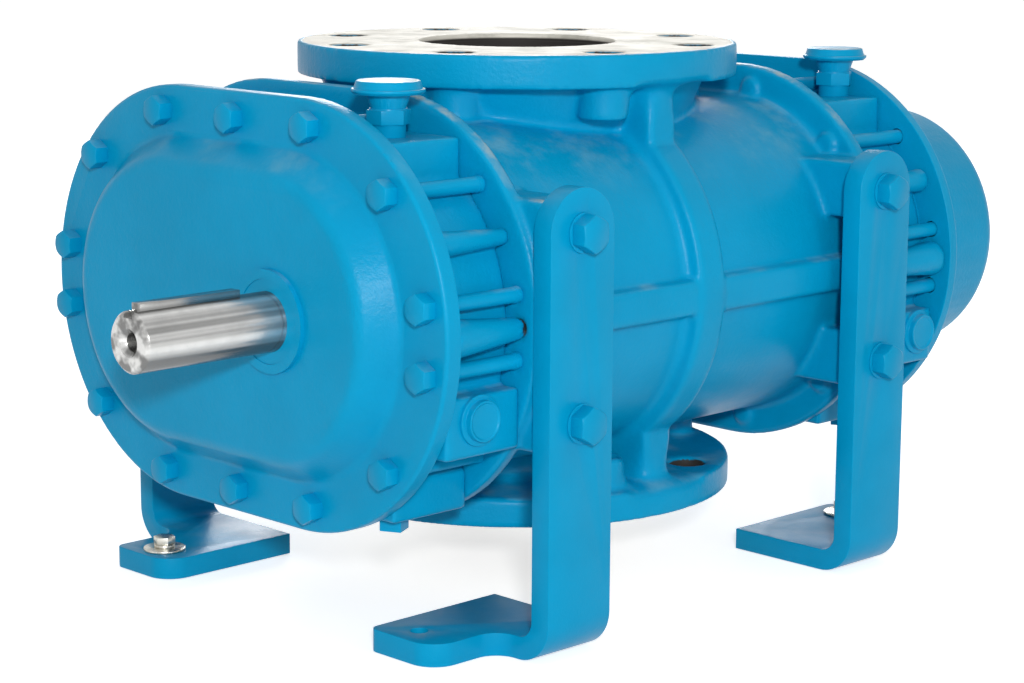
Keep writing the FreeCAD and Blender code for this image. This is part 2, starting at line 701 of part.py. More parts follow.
def both_shafts(body, end, station, radius):
    """Draw one circle about each shaft."""
    drawing = end.sketch(body, station)
    for side in (RIGHT, LEFT):
        circle(drawing, side * s.centre_distance / 2, 0, radius)
    return drawing


def headplate_inside(body, end):
    """Oil space, bearing bosses, and the seats for bearings, lip seals and shafts."""
    sump = draw(end.sketch(body, end.face), stadium(s.centre_distance / 2, s.sump_r))
    end.cut_in(body, sump, f"{end.plate} - dims.sump_floor")
    bosses = both_shafts(body, end, end.floor, "dims.bearing_boss_r")
    end.raise_out(body, bosses, "dims.lip_seal_width + 1 + dims.bearing_width")
    for station, radius, depth in (
        (end.bearing, "dims.bearing_outer_r + dims.thread_clear", "dims.bearing_width + 1"),
        (end.floor, "dims.lip_seal_r + dims.thread_clear", "dims.lip_seal_width + 2"),
        ("dims.casing_half_len", f"{end.journal} + dims.shaft_hole_clear", "dims.sump_floor + 1"),
    ):
        end.cut_out(body, both_shafts(body, end, station, radius), depth)


def headplate_ports(body, end):
    """Breather, filler, sight-glass, level and drain holes, and the seats of the flush plugs."""
    for side in (RIGHT, LEFT):
        wide = "dims.breather_port_r" if side == RIGHT else "dims.plug_r"
        turn_y = end.out(end.breather)
        down = circle(sketch(body, "XY_Plane", "dims.top_pad_z"), side * s.breather_x, turn_y,
                      f"{wide} + dims.thread_clear")
        pocket(body, down, "dims.breather_port_deep")
        wide = "dims.sight_port_r" if side == RIGHT else "dims.plug_r"
        sight_y = end.out(end.sight)
        inward = circle(sketch(body, "YZ_Plane", f"{side} * dims.sight_pad_x"), sight_y, s.sight_z,
                        f"{wide} + dims.thread_clear")
        pocket(body, inward, "dims.sight_port_deep", reverse=side < 0)
    drain_y = end.out(f"{end.face} - dims.drain_back")
    drain = circle(sketch(body, "XY_Plane", "dims.lug_low"), s.drain_x, drain_y,
                   "dims.drain_port_r + dims.thread_clear")
    pocket(body, drain, "dims.drain_port_deep", reverse=True)


def make_headplate(end):
    """A headplate: it closes the rotor chamber and carries two bearings in an oil space."""
    body = new_body(f"{end.name}_headplate")
    core = draw(end.sketch(body, end.face), stadium(s.centre_distance / 2, s.core_r))
    end.raise_in(body, core, end.plate)
    headplate_blocks(body, end)
    headplate_bosses(body, end)
    boss_webs(body, end)
    headplate_inside(body, end)
    headplate_ports(body, end)
    end.cut_out(body, dowel_holes(body, end), "dims.dowel_half + dims.dowel_end_gap")


# Covers and their bolts
def cover_bolt_holes(body, end):
    """Plain holes for the cover bolts."""
    holes = end.sketch(body, end.cover)
    for x, z in round_places():
        circle(holes, x, z, "dims.cover_bolt_r + dims.hole_clear")
    end.cut_out(body, holes, f"{end.rim} + dims.cast_fillet_r")


def make_drive_cover():
    """The drive-end cover: a round-ended rim with a sloping raised face and a ring for the shaft seal."""
    body = new_body("drive_end_cover")
    back, front = -value(DRIVE.cover), -value(DRIVE.cover_front)
    edge, face = s.casting_edge_r, front - s.drive_rise
    rim = [(back, 0, 0), (back, s.rim_r, edge / 2), (front, s.rim_r, 2 * edge), (front, 0, 0)]
    round_ended(body, rim, s.centre_distance / 2, HALF)
    wide = s.drive_foot_r + s.drive_foot_fillet
    raised = [
        (back - 1, 0, 0),
        (back - 1, wide, 0),
        (front, wide, 0),
        (front, s.drive_foot_r, s.drive_foot_fillet),
        (face, s.drive_face_r, s.drive_edge_r),
        (face, 0, 0),
    ]
    round_ended(body, raised, s.drive_face_centre, "dims.drive_face_centre")
    face_rule = f"{DRIVE.cover_front} + dims.drive_rise"
    ring = circle(DRIVE.sketch(body, face_rule, across=HALF), 0, 0, "dims.seal_boss_r")
    DRIVE.raise_out(body, ring, "dims.seal_boss_rise")
    hollow = draw(DRIVE.sketch(body, DRIVE.cover), stadium(s.drive_face_centre, s.drive_hollow_r))
    DRIVE.cut_out(body, hollow, f"{DRIVE.rim} + dims.drive_rise - dims.drive_face_wall")
    seat = circle(DRIVE.sketch(body, f"{face_rule} + dims.seal_boss_rise", across=HALF), 0, 0,
                  "dims.shaft_seal_r + dims.thread_clear")
    DRIVE.cut_in(body, seat, "dims.drive_face_wall + dims.seal_boss_rise + 1")
    cover_bolt_holes(body, DRIVE)


def make_gear_cover():
    """The gear cover: a deep round-ended dome over the timing gears."""
    body = new_body("gear_cover")
    back, front = value(GEAR.cover), value(GEAR.cover_front)
    edge, end = s.casting_edge_r, front + s.dome_length
    side = [
        (back, 0, 0),
        (back, s.rim_r, edge / 2),
        (front, s.rim_r, 2 * edge),
        (front, s.dome_foot_r, s.cast_fillet_r),
        (end, s.dome_end_r, s.dome_edge_r),
        (end, 0, 0),
    ]
    round_ended(body, side, s.centre_distance / 2, HALF)
    hollow = draw(GEAR.sketch(body, GEAR.cover), stadium(s.centre_distance / 2, s.dome_end_r - s.dome_wall))
    GEAR.cut_out(body, hollow, f"{GEAR.rim} + dims.dome_length - dims.dome_wall")
    cover_bolt_holes(body, GEAR)


def make_gasket(end):
    """A flat gasket between a headplate and its cover."""
    body = new_body(f"{end.name}_cover_gasket")
    drawing = end.sketch(body, end.face)
    draw(drawing, stadium(s.centre_distance / 2, s.core_r - s.gasket_edge))
    draw(drawing, stadium(s.centre_distance / 2, s.sump_r + s.gasket_edge))
    end.raise_out(body, drawing, "dims.gasket_thick")


def chamfer_head(bolt, plane, front, outward, flats):
    """Turn the corners off a hexagon head at its front face."""
    flat_r, beyond = flats / 2 * s.head_flat, flats
    slope = outward * (beyond - flat_r) * HEAD_SLOPE
    waste = [(front, flat_r, 0), (front, beyond, 0), (front - slope, beyond, 0)]
    turn(bolt, draw(sketch(bolt, plane), rounded(waste)), kind="Groove")


def make_cover_bolts(end):
    """Long hexagon-head bolts: through the cover, past the headplate and into the casing rim."""
    bolt = new_body(f"{end.name}_cover_bolt", keep=False)
    front = end.out(end.cover_front)
    tip = end.out("dims.casing_half_len - dims.casing_rim_thick - dims.cover_bolt_tip")
    thread = tip + end.sign * s.cover_bolt_thread
    body_r, thread_r = s.cover_bolt_body_r, s.cover_bolt_r
    shank = [
        (front, 0, 0),
        (front, body_r, 0),
        (thread, body_r, 0),
        (thread, thread_r, 0),
        (tip + end.sign, thread_r, 0),
        (tip, thread_r - 1, 0),
        (tip, 0, 0),
    ]
    turn(bolt, draw(sketch(bolt, "YZ_Plane"), rounded(shank)))
    head = draw(end.sketch(bolt, end.cover_front), hexagon(s.cover_bolt_flats))
    end.raise_out(bolt, head, "dims.cover_head_thick")
    chamfer_head(bolt, "YZ_Plane", front + end.sign * s.cover_head_thick, end.sign, s.cover_bolt_flats)
    doc.recompute()
    places = [Placement(Vector(x, 0, z), Rotation()) for x, z in round_places()]
    group(f"{end.name}_cover_bolts", bolt, places)


def make_dowels(end):
    """Two dowels that line a headplate up with the casing."""
    body = new_body(f"{end.name}_dowels")
    drawing = end.sketch(body, "dims.casing_half_len + dims.dowel_half")
    for side in (RIGHT, LEFT):
        circle(drawing, side * (s.centre_distance / 2 + s.boss_place_r), 0, "dims.dowel_r")
    end.raise_in(body, drawing, "2 * dims.dowel_half")


# Legs
def leg_body(name, inner_corner, outer_corner, keep=True):
    """A leg of bent flat bar with a tab that reaches past its end of the casing."""
    leg = new_body(name, keep)
    reach, thick, floor = s.leg_pad_reach, s.leg_thick, -s.shaft_height
    outside = reach + thick
    bend = s.leg_bend_r + thick
    profile = [
        (reach, s.leg_top, 0),
        (outside, s.leg_top, 0),
        (outside, floor, bend),
        (s.foot_inner_x, floor, 0),
        (s.foot_inner_x, floor + thick, 0),
        (reach, floor + thick, s.leg_bend_r),
    ]
    side = sketch(leg, "XZ_Plane", "dims.leg_y + dims.leg_width / 2")
    pad(leg, draw(side, rounded(profile)), "dims.leg_width", reverse=True)
    near_edge = -s.leg_y - s.leg_width / 2
    tab_out = s.foot_inner_x + s.foot_tab_width
    tab = [
        (s.foot_inner_x, -s.leg_y, 0),
        (s.foot_inner_x, -s.foot_end_y, inner_corner),
        (tab_out, -s.foot_end_y, outer_corner),
        (tab_out, near_edge, s.foot_fillet_r),
        (outside - bend, near_edge, 0),
        (outside - bend, -s.leg_y, 0),
    ]
    pad(leg, draw(sketch(leg, "XY_Plane", "-dims.shaft_height"), rounded(tab)), "dims.leg_thick")
    radius = s.leg_width / 2
    shoulder, above = s.leg_top - radius, s.leg_top + 1
    left, right = -s.leg_y - radius, -s.leg_y + radius
    crown = Part.Arc(Vector(right, shoulder, 0), Vector(-s.leg_y, s.leg_top, 0), Vector(left, shoulder, 0))
    waste = [
        line(left - 1, shoulder, left - 1, above),
        line(left - 1, above, right + 1, above),
        line(right + 1, above, right + 1, shoulder),
        line(right + 1, shoulder, right, shoulder),
        crown,
        line(left, shoulder, left - 1, shoulder),
    ]
    over = "dims.leg_pad_reach + dims.leg_thick + 1"
    pocket(leg, draw(sketch(leg, "YZ_Plane", over), waste), "dims.leg_thick + 2")
    holes = sketch(leg, "YZ_Plane", over)
    for z in (s.leg_bolt_z, -s.leg_bolt_z):
        circle(holes, -s.leg_y, z, "dims.leg_bolt_r + dims.hole_clear")
    pocket(leg, holes, "dims.leg_thick + 2")
    foot = sketch(leg, "XY_Plane", "dims.leg_thick - dims.shaft_height + 1")
    pocket(leg, circle(foot, s.foot_hole_x, -s.foot_hole_y, "dims.foot_hole_r"), "dims.leg_thick + 2")
    return leg


def make_legs():
    """Four legs: the feet on the left have their two end corners the other way round."""
    drive_right = leg_body("leg_drive_right", s.foot_edge_r, s.foot_corner_r)
    turned = leg_body("leg_turned", s.foot_corner_r, s.foot_edge_r, keep=False)
    doc.recompute()
    drive_left = mirror_image("leg_drive_left", turned, Vector(1, 0, 0))
    mirror_image("leg_gear_right", drive_right, Vector(0, 1, 0))
    mirror_image("leg_gear_left", drive_left, Vector(0, 1, 0))


def leg_bolt_places():
    """Return the places of the leg bolts, turned half round for the left side."""
    places = []
    for side in (RIGHT, LEFT):
        turned = Rotation(Vector(0, 0, 1), 0 if side == RIGHT else 180)
        for y in (s.leg_y, -s.leg_y):
            for z in (s.leg_bolt_z, -s.leg_bolt_z):
                places.append(Placement(Vector(0, y, z), turned))
    return places


def make_leg_bolts():
    """Bolts and washers that hold the legs to the casing."""
    seat = "dims.leg_pad_reach + dims.leg_thick"
    washer = new_body("leg_washer", keep=False)
    ring = sketch(washer, "YZ_Plane", seat)
    circle(ring, 0, 0, "dims.leg_washer_r")
    circle(ring, 0, 0, "dims.leg_bolt_r + dims.hole_clear")
    pad(washer, ring, "dims.leg_washer_thick")
    bolt = new_body("leg_bolt", keep=False)
    shank = circle(sketch(bolt, "YZ_Plane", f"{seat} + dims.leg_washer_thick"), 0, 0, "dims.leg_bolt_r")
    pad(bolt, shank, "dims.leg_washer_thick + dims.leg_thick + dims.leg_bolt_grip", reverse=True)
    head = sketch(bolt, "YZ_Plane", f"{seat} + dims.leg_washer_thick")
    pad(bolt, draw(head, hexagon(s.leg_bolt_flats)), "dims.leg_head_thick")
    front = value(f"{seat} + dims.leg_washer_thick + dims.leg_head_thick")
    chamfer_head(bolt, "XZ_Plane", front, 1, s.leg_bolt_flats)
    doc.recompute()
    group("leg_bolts", bolt, leg_bolt_places())
    group("leg_washers", washer, leg_bolt_places())


# Oil fittings
def make_breather(end):
    """A vented breather: threaded foot, hexagon and bowl under a stepped cap."""
    body = new_body(f"{end.name}_breather_body")
    station = end.breather
    base = s.top_pad_z
    foot, hexed = base + s.breather_base_len, base + s.breather_base_len + s.breather_hex_len
    neck, bowl = hexed + s.breather_neck_len, hexed + s.breather_bowl_len
    side = [
        (0, base - s.plug_deep, 0),
        (s.breather_port_r, base - s.plug_deep, 0),
        (s.breather_port_r, base, 0),
        (s.breather_base_r, base, 0),
        (s.breather_base_r, foot, 0),
        (s.breather_flats / 2, foot, 0),
        (s.breather_flats / 2, neck, 0),
        (s.breather_base_r, neck, 0),
        (s.breather_bowl_r, bowl, 0),
        (0, bowl, 0),
    ]
    turn(body, draw(end.sketch(body, station, across="dims.breather_x"), rounded(side)), axis="V_Axis")
    plan = sketch(body, "XY_Plane", "dims.top_pad_z + dims.breather_base_len")
    shape = hexagon(s.breather_flats, s.breather_x, end.out(station), corner_up=False)
    pad(body, draw(plan, shape), "dims.breather_hex_len")
    cap = new_body(f"{end.name}_breather_cap")
    step = s.breather_cap_step
    crown = [
        (0, bowl, 0),
        (s.breather_cap_r - step, bowl, 0),
        (s.breather_cap_r, bowl + step, step / 2),
        (s.breather_cap_r, bowl + 2 * step, step / 3),
        (s.breather_cap_r - step, bowl + 2 * step, 0),
        (s.breather_cap_r - 2 * step, bowl + s.breather_cap_len, step / 2),
        (0, bowl + s.breather_cap_len, 0),
    ]
    turn(cap, draw(end.sketch(cap, station, across="dims.breather_x"), rounded(crown)), axis="V_Axis")


def make_sight_glass(end):
    """An oil sight glass: a hexagon body with a round pane."""
    station = end.sight
    start, front = s.sight_pad_x, s.sight_pad_x + s.sight_stand
    rim, pane_back = start + s.sight_rim_thick, start + s.sight_pane_seat
    inner = start - s.plug_deep
    body = new_body(f"{end.name}_sight_body")
    ring = [
        (inner, s.sight_bore_r, 0),
        (inner, s.sight_port_r, 0),
        (start, s.sight_port_r, 0),
        (start, s.sight_r, 0),
        (rim, s.sight_r, s.small_edge_r),
        (rim, s.sight_flats / 2, 0),
        (front, s.sight_flats / 2, 0),
        (front, s.sight_lens_r, 0),
        (pane_back, s.sight_lens_r, 0),
        (pane_back, s.sight_bore_r, 0),
    ]
    turn(body, draw(end.sketch(body, station, up="dims.sight_z"), rounded(ring)))
    plan = sketch(body, "YZ_Plane", "dims.sight_pad_x + dims.sight_rim_thick")
    draw(plan, hexagon(s.sight_flats, end.out(station), s.sight_z))
    circle(plan, end.out(station), s.sight_z, "dims.sight_lens_r")
    pad(body, plan, "dims.sight_stand - dims.sight_rim_thick")
    pane = new_body(f"{end.name}_sight_pane")
    disc = sketch(pane, "YZ_Plane", "dims.sight_pad_x + dims.sight_pane_seat")
    circle(disc, end.out(station), s.sight_z, "dims.sight_lens_r - dims.thread_clear")
    pad(pane, disc, "dims.sight_pane_thick")


def make_plugs(end):
    """A square-headed drain plug and two flush socket plugs."""
    drain = new_body(f"{end.name}_drain_plug")
    x, y = s.drain_x, end.out(f"{end.face} - dims.drain_back")
    half = s.drain_square / 2
    turned = [polar(half * math.sqrt(2), 45 + 90 * i + s.drain_turn) for i in range(4)]
    outline = rounded([(x + px, y + py, s.small_edge_r) for px, py in turned])
    head = draw(sketch(drain, "XY_Plane", "dims.lug_low"), outline)
    pad(drain, head, "dims.drain_head", reverse=True)
    stem = circle(sketch(drain, "XY_Plane", "dims.lug_low"), x, y, "dims.drain_port_r")
    pad(drain, stem, "dims.plug_deep")
    plugs = new_body(f"{end.name}_pipe_plugs")
    fill_y = end.out(end.breather)
    level_y = end.out(end.sight)
    filler = sketch(plugs, "XY_Plane", "dims.top_pad_z + dims.plug_stand")
    circle(filler, -s.breather_x, fill_y, "dims.plug_r")
    pad(plugs, filler, "dims.plug_deep", reverse=True)
    level = sketch(plugs, "YZ_Plane", "-dims.sight_pad_x - dims.plug_stand")
    circle(level, level_y, s.sight_z, "dims.plug_r")
    pad(plugs, level, "dims.plug_deep")
    socket = sketch(plugs, "XY_Plane", "dims.top_pad_z + dims.plug_stand")
    pocket(plugs, draw(socket, hexagon(s.plug_socket, -s.breather_x, fill_y)), "dims.plug_deep / 2")
    socket = sketch(plugs, "YZ_Plane", "-dims.sight_pad_x - dims.plug_stand")
    draw(socket, hexagon(s.plug_socket, level_y, s.sight_z))
    pocket(plugs, socket, "dims.plug_deep / 2", reverse=True)


# Rotors
def lobe_outline(turned):
    """Return a two-lobe rotor outline: round tips joined by waists that roll on the mate's tips.

    A tip arc has its centre a distance e out from the shaft, chosen so that the arc ends on the pitch
    circle at 45 degrees. Each waist point is a contact point of that arc, seen from the mating rotor.
    """
    pitch, tip = s.centre_distance / 2, s.lobe_tip_r
    e = (tip ** 2 - pitch ** 2) / (2 * tip - math.sqrt(2) * pitch)
    last = math.atan2(pitch * math.sin(math.pi / 4), pitch * math.cos(math.pi / 4) - e)
    rho = tip - e - s.lobe_gap
    waist = []
    for i in range(WAIST_STEPS + 1):
        theta = last * (1 - (i / WAIST_STEPS) ** WAIST_SPREAD)
        reach = -e * math.cos(theta) + math.sqrt(pitch ** 2 - (e * math.sin(theta)) ** 2)
        phi = math.atan2(reach * math.sin(theta), e + reach * math.cos(theta))
        back = Rotation(Vector(0, 0, 1), -math.degrees(phi))
        normal = Vector(math.cos(theta), math.sin(theta), 0)
        contact = back.multVec(Vector(e, 0, 0) + normal * (tip - e))
        mate = back.multVec(contact - Vector(s.centre_distance, 0, 0))
        mate = mate + back.multVec(back.multVec(normal)) * s.lobe_gap
        waist.append(Vector(abs(mate.y), -mate.x, 0))
    waist += [Vector(-p.x, p.y, 0) for p in reversed(waist[:-1])]
    half_turn = waist + [Vector(-e - rho, 0, 0)]
    ring = half_turn + [-p for p in half_turn]
    spin = Rotation(Vector(0, 0, 1), turned)
    return arc_ring([spin.multVec(p) for p in ring])


def rotor_name(side):
    """Return the name of the rotor on this side."""
    return "drive" if side == RIGHT else "driven"


def make_rotor(side):
    """A cast two-lobe rotor with a cored hole through each lobe."""
    turned = 90 if side == RIGHT else 0
    body = new_body(f"{rotor_name(side)}_rotor_lobes")
    shape = sketch(body, "XZ_Plane", across=f"{side} * {HALF}")
    pad(body, draw(shape, lobe_outline(turned)), "2 * (dims.casing_half_len - dims.end_gap)", both=True)
    holes = sketch(body, "XZ_Plane", across=f"{side} * {HALF}")
    circle(holes, 0, 0, "dims.through_r + dims.thread_clear / 2")
    for turn_more in (0, 180):
        x, z = polar(s.lobe_core_place, turned + turn_more)
        circle(holes, x, z, "dims.lobe_core_r")
    pocket(body, holes, "2 * dims.casing_half_len", both=True)


def shaft_side(side):
    """Return the half profile of a shaft, from the drive end to the gear end."""
    rotor_end = s.casing_half_len - s.end_gap
    thread_start = s.gear_start + s.gear_face - 1
    nut_end = s.gear_start + s.gear_face + s.slinger_hub + s.nut_thick + 1
    journal_end = value(f"{DRIVE.bearing} + dims.bearing_width + dims.shaft_shoulder")
    first = [(-journal_end, 0, 0)]
    if side == RIGHT:
        first = [
            (-s.shaft_end, 0, 0),
            (-s.shaft_end, s.shaft_r - s.shaft_chamfer, 0),
            (-s.shaft_end + s.shaft_chamfer, s.shaft_r, 0),
            (-journal_end, s.shaft_r, 0),
        ]
    return first + [
        (-journal_end, s.journal_r, 0),
        (-rotor_end, s.journal_r, 0),
        (-rotor_end, s.through_r, 0),
        (rotor_end, s.through_r, 0),
        (rotor_end, s.gear_seat_r, 0),
        (thread_start, s.gear_seat_r, 0),
        (thread_start, s.thread_end_r, 0),
        (nut_end - 1, s.thread_end_r, 0),
        (nut_end, s.thread_end_r - 1, 0),
        (nut_end, 0, 0),
    ]


def axis_sketch(body, side, plane, offset=None):
    """Lay a sketch that has its own origin on one of the shafts."""
    return sketch(body, plane, offset, across=f"{side} * {HALF}")


def shaft_turn(body, side, corners, kind="Revolution"):
    """Turn a half profile about one of the shafts."""
    drawing = sketch(body, "YZ_Plane", f"{side} * {HALF}")
    turn(body, draw(drawing, rounded(corners)), kind=kind)


def shaft_ring(name, side, bore_r, outer_r, start, length, keep=True):
    """Make a plain ring round one of the shafts, from a start along +Y."""
    body = new_body(name, keep)
    shaft_turn(body, side, [(y, radius, 0) for y, radius in (
        (start, bore_r), (start + length, bore_r), (start + length, outer_r), (start, outer_r))])
    return body


def make_shaft(side):
    """A rotor shaft; the drive shaft also has a keyway and a tapped centre hole."""
    body = new_body(f"{rotor_name(side)}_shaft")
    shaft_turn(body, side, shaft_side(side))
    pocket(body, draw(gear_key_sketch(body, side), gear_key_outline()), "dims.gear_key_width")
    if side == LEFT:
        return
    tip = -s.shaft_end
    hole = circle(DRIVE.sketch(body, "dims.shaft_end", across=HALF), 0, 0, "dims.centre_hole_r")
    DRIVE.cut_in(body, hole, "dims.centre_hole_deep")
    sink_end = tip + s.centre_sink_r - s.centre_hole_r
    sink = [(tip, 0, 0), (tip, s.centre_sink_r, 0), (sink_end, s.centre_hole_r, 0), (sink_end, 0, 0)]
    shaft_turn(body, side, sink, kind="Groove")
    half = s.key_width / 2
    way = block(-half, tip - 1, half, tip + s.key_start + s.key_length)
    pocket(body, draw(shaft_key_sketch(body), way), "dims.key_width")


def shaft_key_sketch(body):
    """Lay a sketch on top of the shaft key."""
    return axis_sketch(body, RIGHT, "XY_Plane", "dims.shaft_r + dims.key_stand")


def make_shaft_key():
    """The square key of the drive shaft."""
    body = new_body("shaft_key")
    half, near = s.key_width / 2, -s.shaft_end + s.key_start
    pad(body, draw(shaft_key_sketch(body), block(-half, near, half, near + s.key_length)),
        "dims.key_width", reverse=True)


# Timing gears
def gear_key_sketch(body, side):
    """Lay a sketch on top of a timing gear's key."""
    return axis_sketch(body, side, "XY_Plane", "dims.gear_seat_r + dims.gear_key_width / 2")


def gear_key_outline():
    """Return a timing gear's key seen from above."""
    half = s.gear_key_width / 2
    return block(-half, s.gear_start + 2, half, s.gear_start + s.gear_face - 2)


def tooth_space(middle):
    """Return the outline of one space between teeth, about a direction in degrees."""
    pitch_r = s.gear_module * s.gear_teeth / 2
    slope = math.radians(s.gear_pressure_angle)
    base_r = pitch_r * math.cos(slope)
    at_pitch = math.pi / (2 * s.gear_teeth) + s.gear_backlash / 4 / pitch_r - (math.tan(slope) - slope)
    flank = []
    for i in range(FLANK_POINTS):
        radius = base_r + (s.gear_tip_r + s.small_edge_r - base_r) * i / (FLANK_POINTS - 1)
        alpha = math.acos(base_r / radius)
        flank.append((radius, math.degrees(at_pitch + math.tan(alpha) - alpha)))
    left = [Vector(*polar(radius, middle + angle), 0) for radius, angle in flank]
    right = [Vector(*polar(radius, middle - angle), 0) for radius, angle in flank]
    bottom = [Vector(*polar(s.gear_root_r, middle + turn_by * flank[0][1]), 0) for turn_by in (1, -1)]
    curves = []
    for points in (left, right):
        curve = Part.BSplineCurve()
        curve.interpolate(points)
        curves.append(curve)
    return [
        curves[0],
        Part.LineSegment(left[-1], right[-1]),
        curves[1],
        Part.LineSegment(right[0], bottom[1]),
        Part.LineSegment(bottom[1], bottom[0]),
        Part.LineSegment(bottom[0], left[0]),
    ]


def make_timing_gear(side):
    """A timing gear and its key; the gears keep the rotors from touching."""
    body = new_body(f"{rotor_name(side)}_timing_gear")
    blank = axis_sketch(body, side, "XZ_Plane", "-dims.gear_start")
    circle(blank, 0, 0, "dims.gear_tip_r")
    circle(blank, 0, 0, "dims.gear_seat_r + dims.fit_clear")
    pad(body, blank, "dims.gear_face", reverse=True)
    space = axis_sketch(body, side, "XZ_Plane", "-dims.gear_start")
    middle = 0 if side == RIGHT else 180 / s.gear_teeth
    tooth_cut = pocket(body, draw(space, tooth_space(middle)), "dims.gear_face")
    teeth = body.newObject("PartDesign::PolarPattern", "Teeth")
    teeth.Originals = [tooth_cut]
    teeth.Axis = (blank, ["N_Axis"])
    teeth.Angle = 360
    teeth.setExpression("Occurrences", "dims.gear_teeth")
    body.Tip = teeth
    slot = axis_sketch(body, side, "XZ_Plane", "-dims.gear_start")
    half = s.gear_key_width / 2 + s.fit_clear
    draw(slot, block(-half, 0, half, s.gear_seat_r + s.gear_key_width / 2 + s.fit_clear))
    pocket(body, slot, "dims.gear_face")
    key = new_body(f"{rotor_name(side)}_gear_key")
    pad(key, draw(gear_key_sketch(key, side), gear_key_outline()), "dims.gear_key_width", reverse=True)


def make_gear_stack(side):
    """What sits before and after a timing gear: a spacer, on the driven shaft a slinger, and a locknut."""
    name = rotor_name(side)
    seat = s.gear_seat_r + s.fit_clear
    bearing_end = value(f"{GEAR.bearing} + dims.bearing_width")
    shaft_ring(f"{name}_gear_spacer", side, seat, s.spacer_r, bearing_end, s.gear_start - bearing_end)
    start = s.gear_start + s.gear_face
    if side == LEFT:
        make_slinger("gear_end_slinger", start, s.slinger_hub, s.thread_end_r, s.slinger_r)
        start += s.slinger_hub
    nut = new_body(f"{name}_locknut")
    drawing = axis_sketch(nut, side, "XZ_Plane", f"-{start}")
    circle(drawing, 0, 0, "dims.nut_r")
    circle(drawing, 0, 0, "dims.thread_end_r + dims.fit_clear")
    pad(nut, drawing, "dims.nut_thick", reverse=True)
    notches = axis_sketch(nut, side, "XZ_Plane", f"-{start}")
    half = s.nut_notch_half
    for x, z in ((s.nut_r, 0), (-s.nut_r, 0), (0, s.nut_r), (0, -s.nut_r)):
        draw(notches, block(x - half, z - half, x + half, z + half))
    pocket(nut, notches, "dims.nut_thick")


def make_slinger(name, start, hub, shaft_r, disc_r):
    """An oil slinger on the driven shaft: a thin disc on a hub."""
    body = new_body(name)
    bore, middle, half = shaft_r + s.fit_clear, start + hub / 2, s.slinger_thick / 2
    profile = [
        (start, bore, 0),
        (start + hub, bore, 0),
        (start + hub, s.slinger_hub_r, 0),
        (middle + half, s.slinger_hub_r, 0),
        (middle + half, disc_r, 0),
        (middle - half, disc_r, 0),
        (middle - half, s.slinger_hub_r, 0),
        (start, s.slinger_hub_r, 0),
    ]
    shaft_turn(body, LEFT, profile)


# Bearings and seals
def bearing_start(end):
    """Return where a bearing starts along +Y."""
    start = end.out(end.bearing)
    return start if end.sign > 0 else start - s.bearing_width


def merged(name, bodies):
    """Keep several pieces that do the same job as one group."""
    doc.recompute()
    feature = doc.addObject("Part::Compound", name)
    feature.Label = name
    feature.Links = bodies
    parts.append(feature)


def make_bearings():
    """Roller bearings of both shafts at both ends, and the lip seals next to the rotors."""
    outers = []
    for side in (RIGHT, LEFT):
        name = rotor_name(side)
        inners, rollers = [], []
        for end in (DRIVE, GEAR):
            start, width = bearing_start(end), s.bearing_width
            track, outside = s.bearing_track_r, s.bearing_outer_r
            outers.append(shaft_ring("outer_race", side, track, outside, start, width, False))
            bore = value(f"{end.journal} + dims.fit_clear")
            inners.append(shaft_ring("inner_race", side, bore, s.bearing_inner_r, start, width, False))
            rollers.append(roller_ring(side, start))
        merged(f"{name}_bearing_inner_races", inners)
        merged(f"{name}_bearing_rollers", rollers)
    merged("bearing_outer_races", outers)
    for end in (DRIVE, GEAR):
        start = end.out(end.floor)
        start = start if end.sign > 0 else start - s.lip_seal_width
        bore = value(f"{end.journal} + dims.seal_gap")
        rings = [
            shaft_ring("lip_seal", side, bore, s.lip_seal_r, start, s.lip_seal_width, False)
            for side in (RIGHT, LEFT)
        ]
        merged(f"{end.name}_end_lip_seals", rings)


def roller_ring(side, start):
    """Make the rollers of one bearing."""
    body = new_body("rollers", keep=False)
    drawing = axis_sketch(body, side, "XZ_Plane", f"-({start} + 1)")
    count = int(s.roller_count)
    for i in range(count):
        x, z = polar((s.bearing_inner_r + s.bearing_track_r) / 2, 360 * i / count)
        circle(drawing, x, z, "dims.roller_r")
    pad(body, drawing, "dims.bearing_width - 2", reverse=True)
    return body


def make_shaft_seal():
    """The seal that the drive shaft leaves the cover through."""
    front = value(f"{DRIVE.cover_front} + dims.drive_rise + dims.seal_boss_rise - dims.shaft_seal_sink")
    bore = s.shaft_r + s.seal_gap
    shaft_ring("shaft_seal", RIGHT, bore, s.shaft_seal_r, -front, s.shaft_seal_width)


def write_parts():
    """Check every sub-part and write each one to its own file."""
    doc.recompute()
    for obj in doc.Objects:
        if "Invalid" in obj.State or "Error" in obj.State:
            raise RuntimeError(f"{obj.Label} did not rebuild: {obj.State}")
    os.makedirs("parts", exist_ok=True)
    for part in parts:
        if part.Shape.isNull() or not part.Shape.isValid() or part.Shape.Volume < 1:
            raise RuntimeError(f"{part.Label} has no sound shape")
        part.Shape.exportStep(f"parts/{part.Label}.step")


fill_sheet()
DRIVE = End("drive", -1, "dims.journal_r")
GEAR = End("gear", 1, "dims.gear_seat_r")
make_casing()
make_drive_cover()
make_gear_cover()
for end in (DRIVE, GEAR):
    make_headplate(end)
    make_gasket(end)
    make_cover_bolts(end)
    make_dowels(end)
    make_breather(end)
    make_sight_glass(end)
    make_plugs(end)
make_legs()
make_leg_bolts()
for side in (RIGHT, LEFT):
    make_rotor(side)
    make_shaft(side)
    make_timing_gear(side)
    make_gear_stack(side)
shoulder = value(f"{DRIVE.bearing} + dims.bearing_width + dims.shaft_shoulder")
make_slinger("drive_end_slinger", -shoulder, s.shaft_shoulder, s.journal_r, s.drive_slinger_r)
make_shaft_key()
make_shaft_seal()
make_bearings()
write_parts()
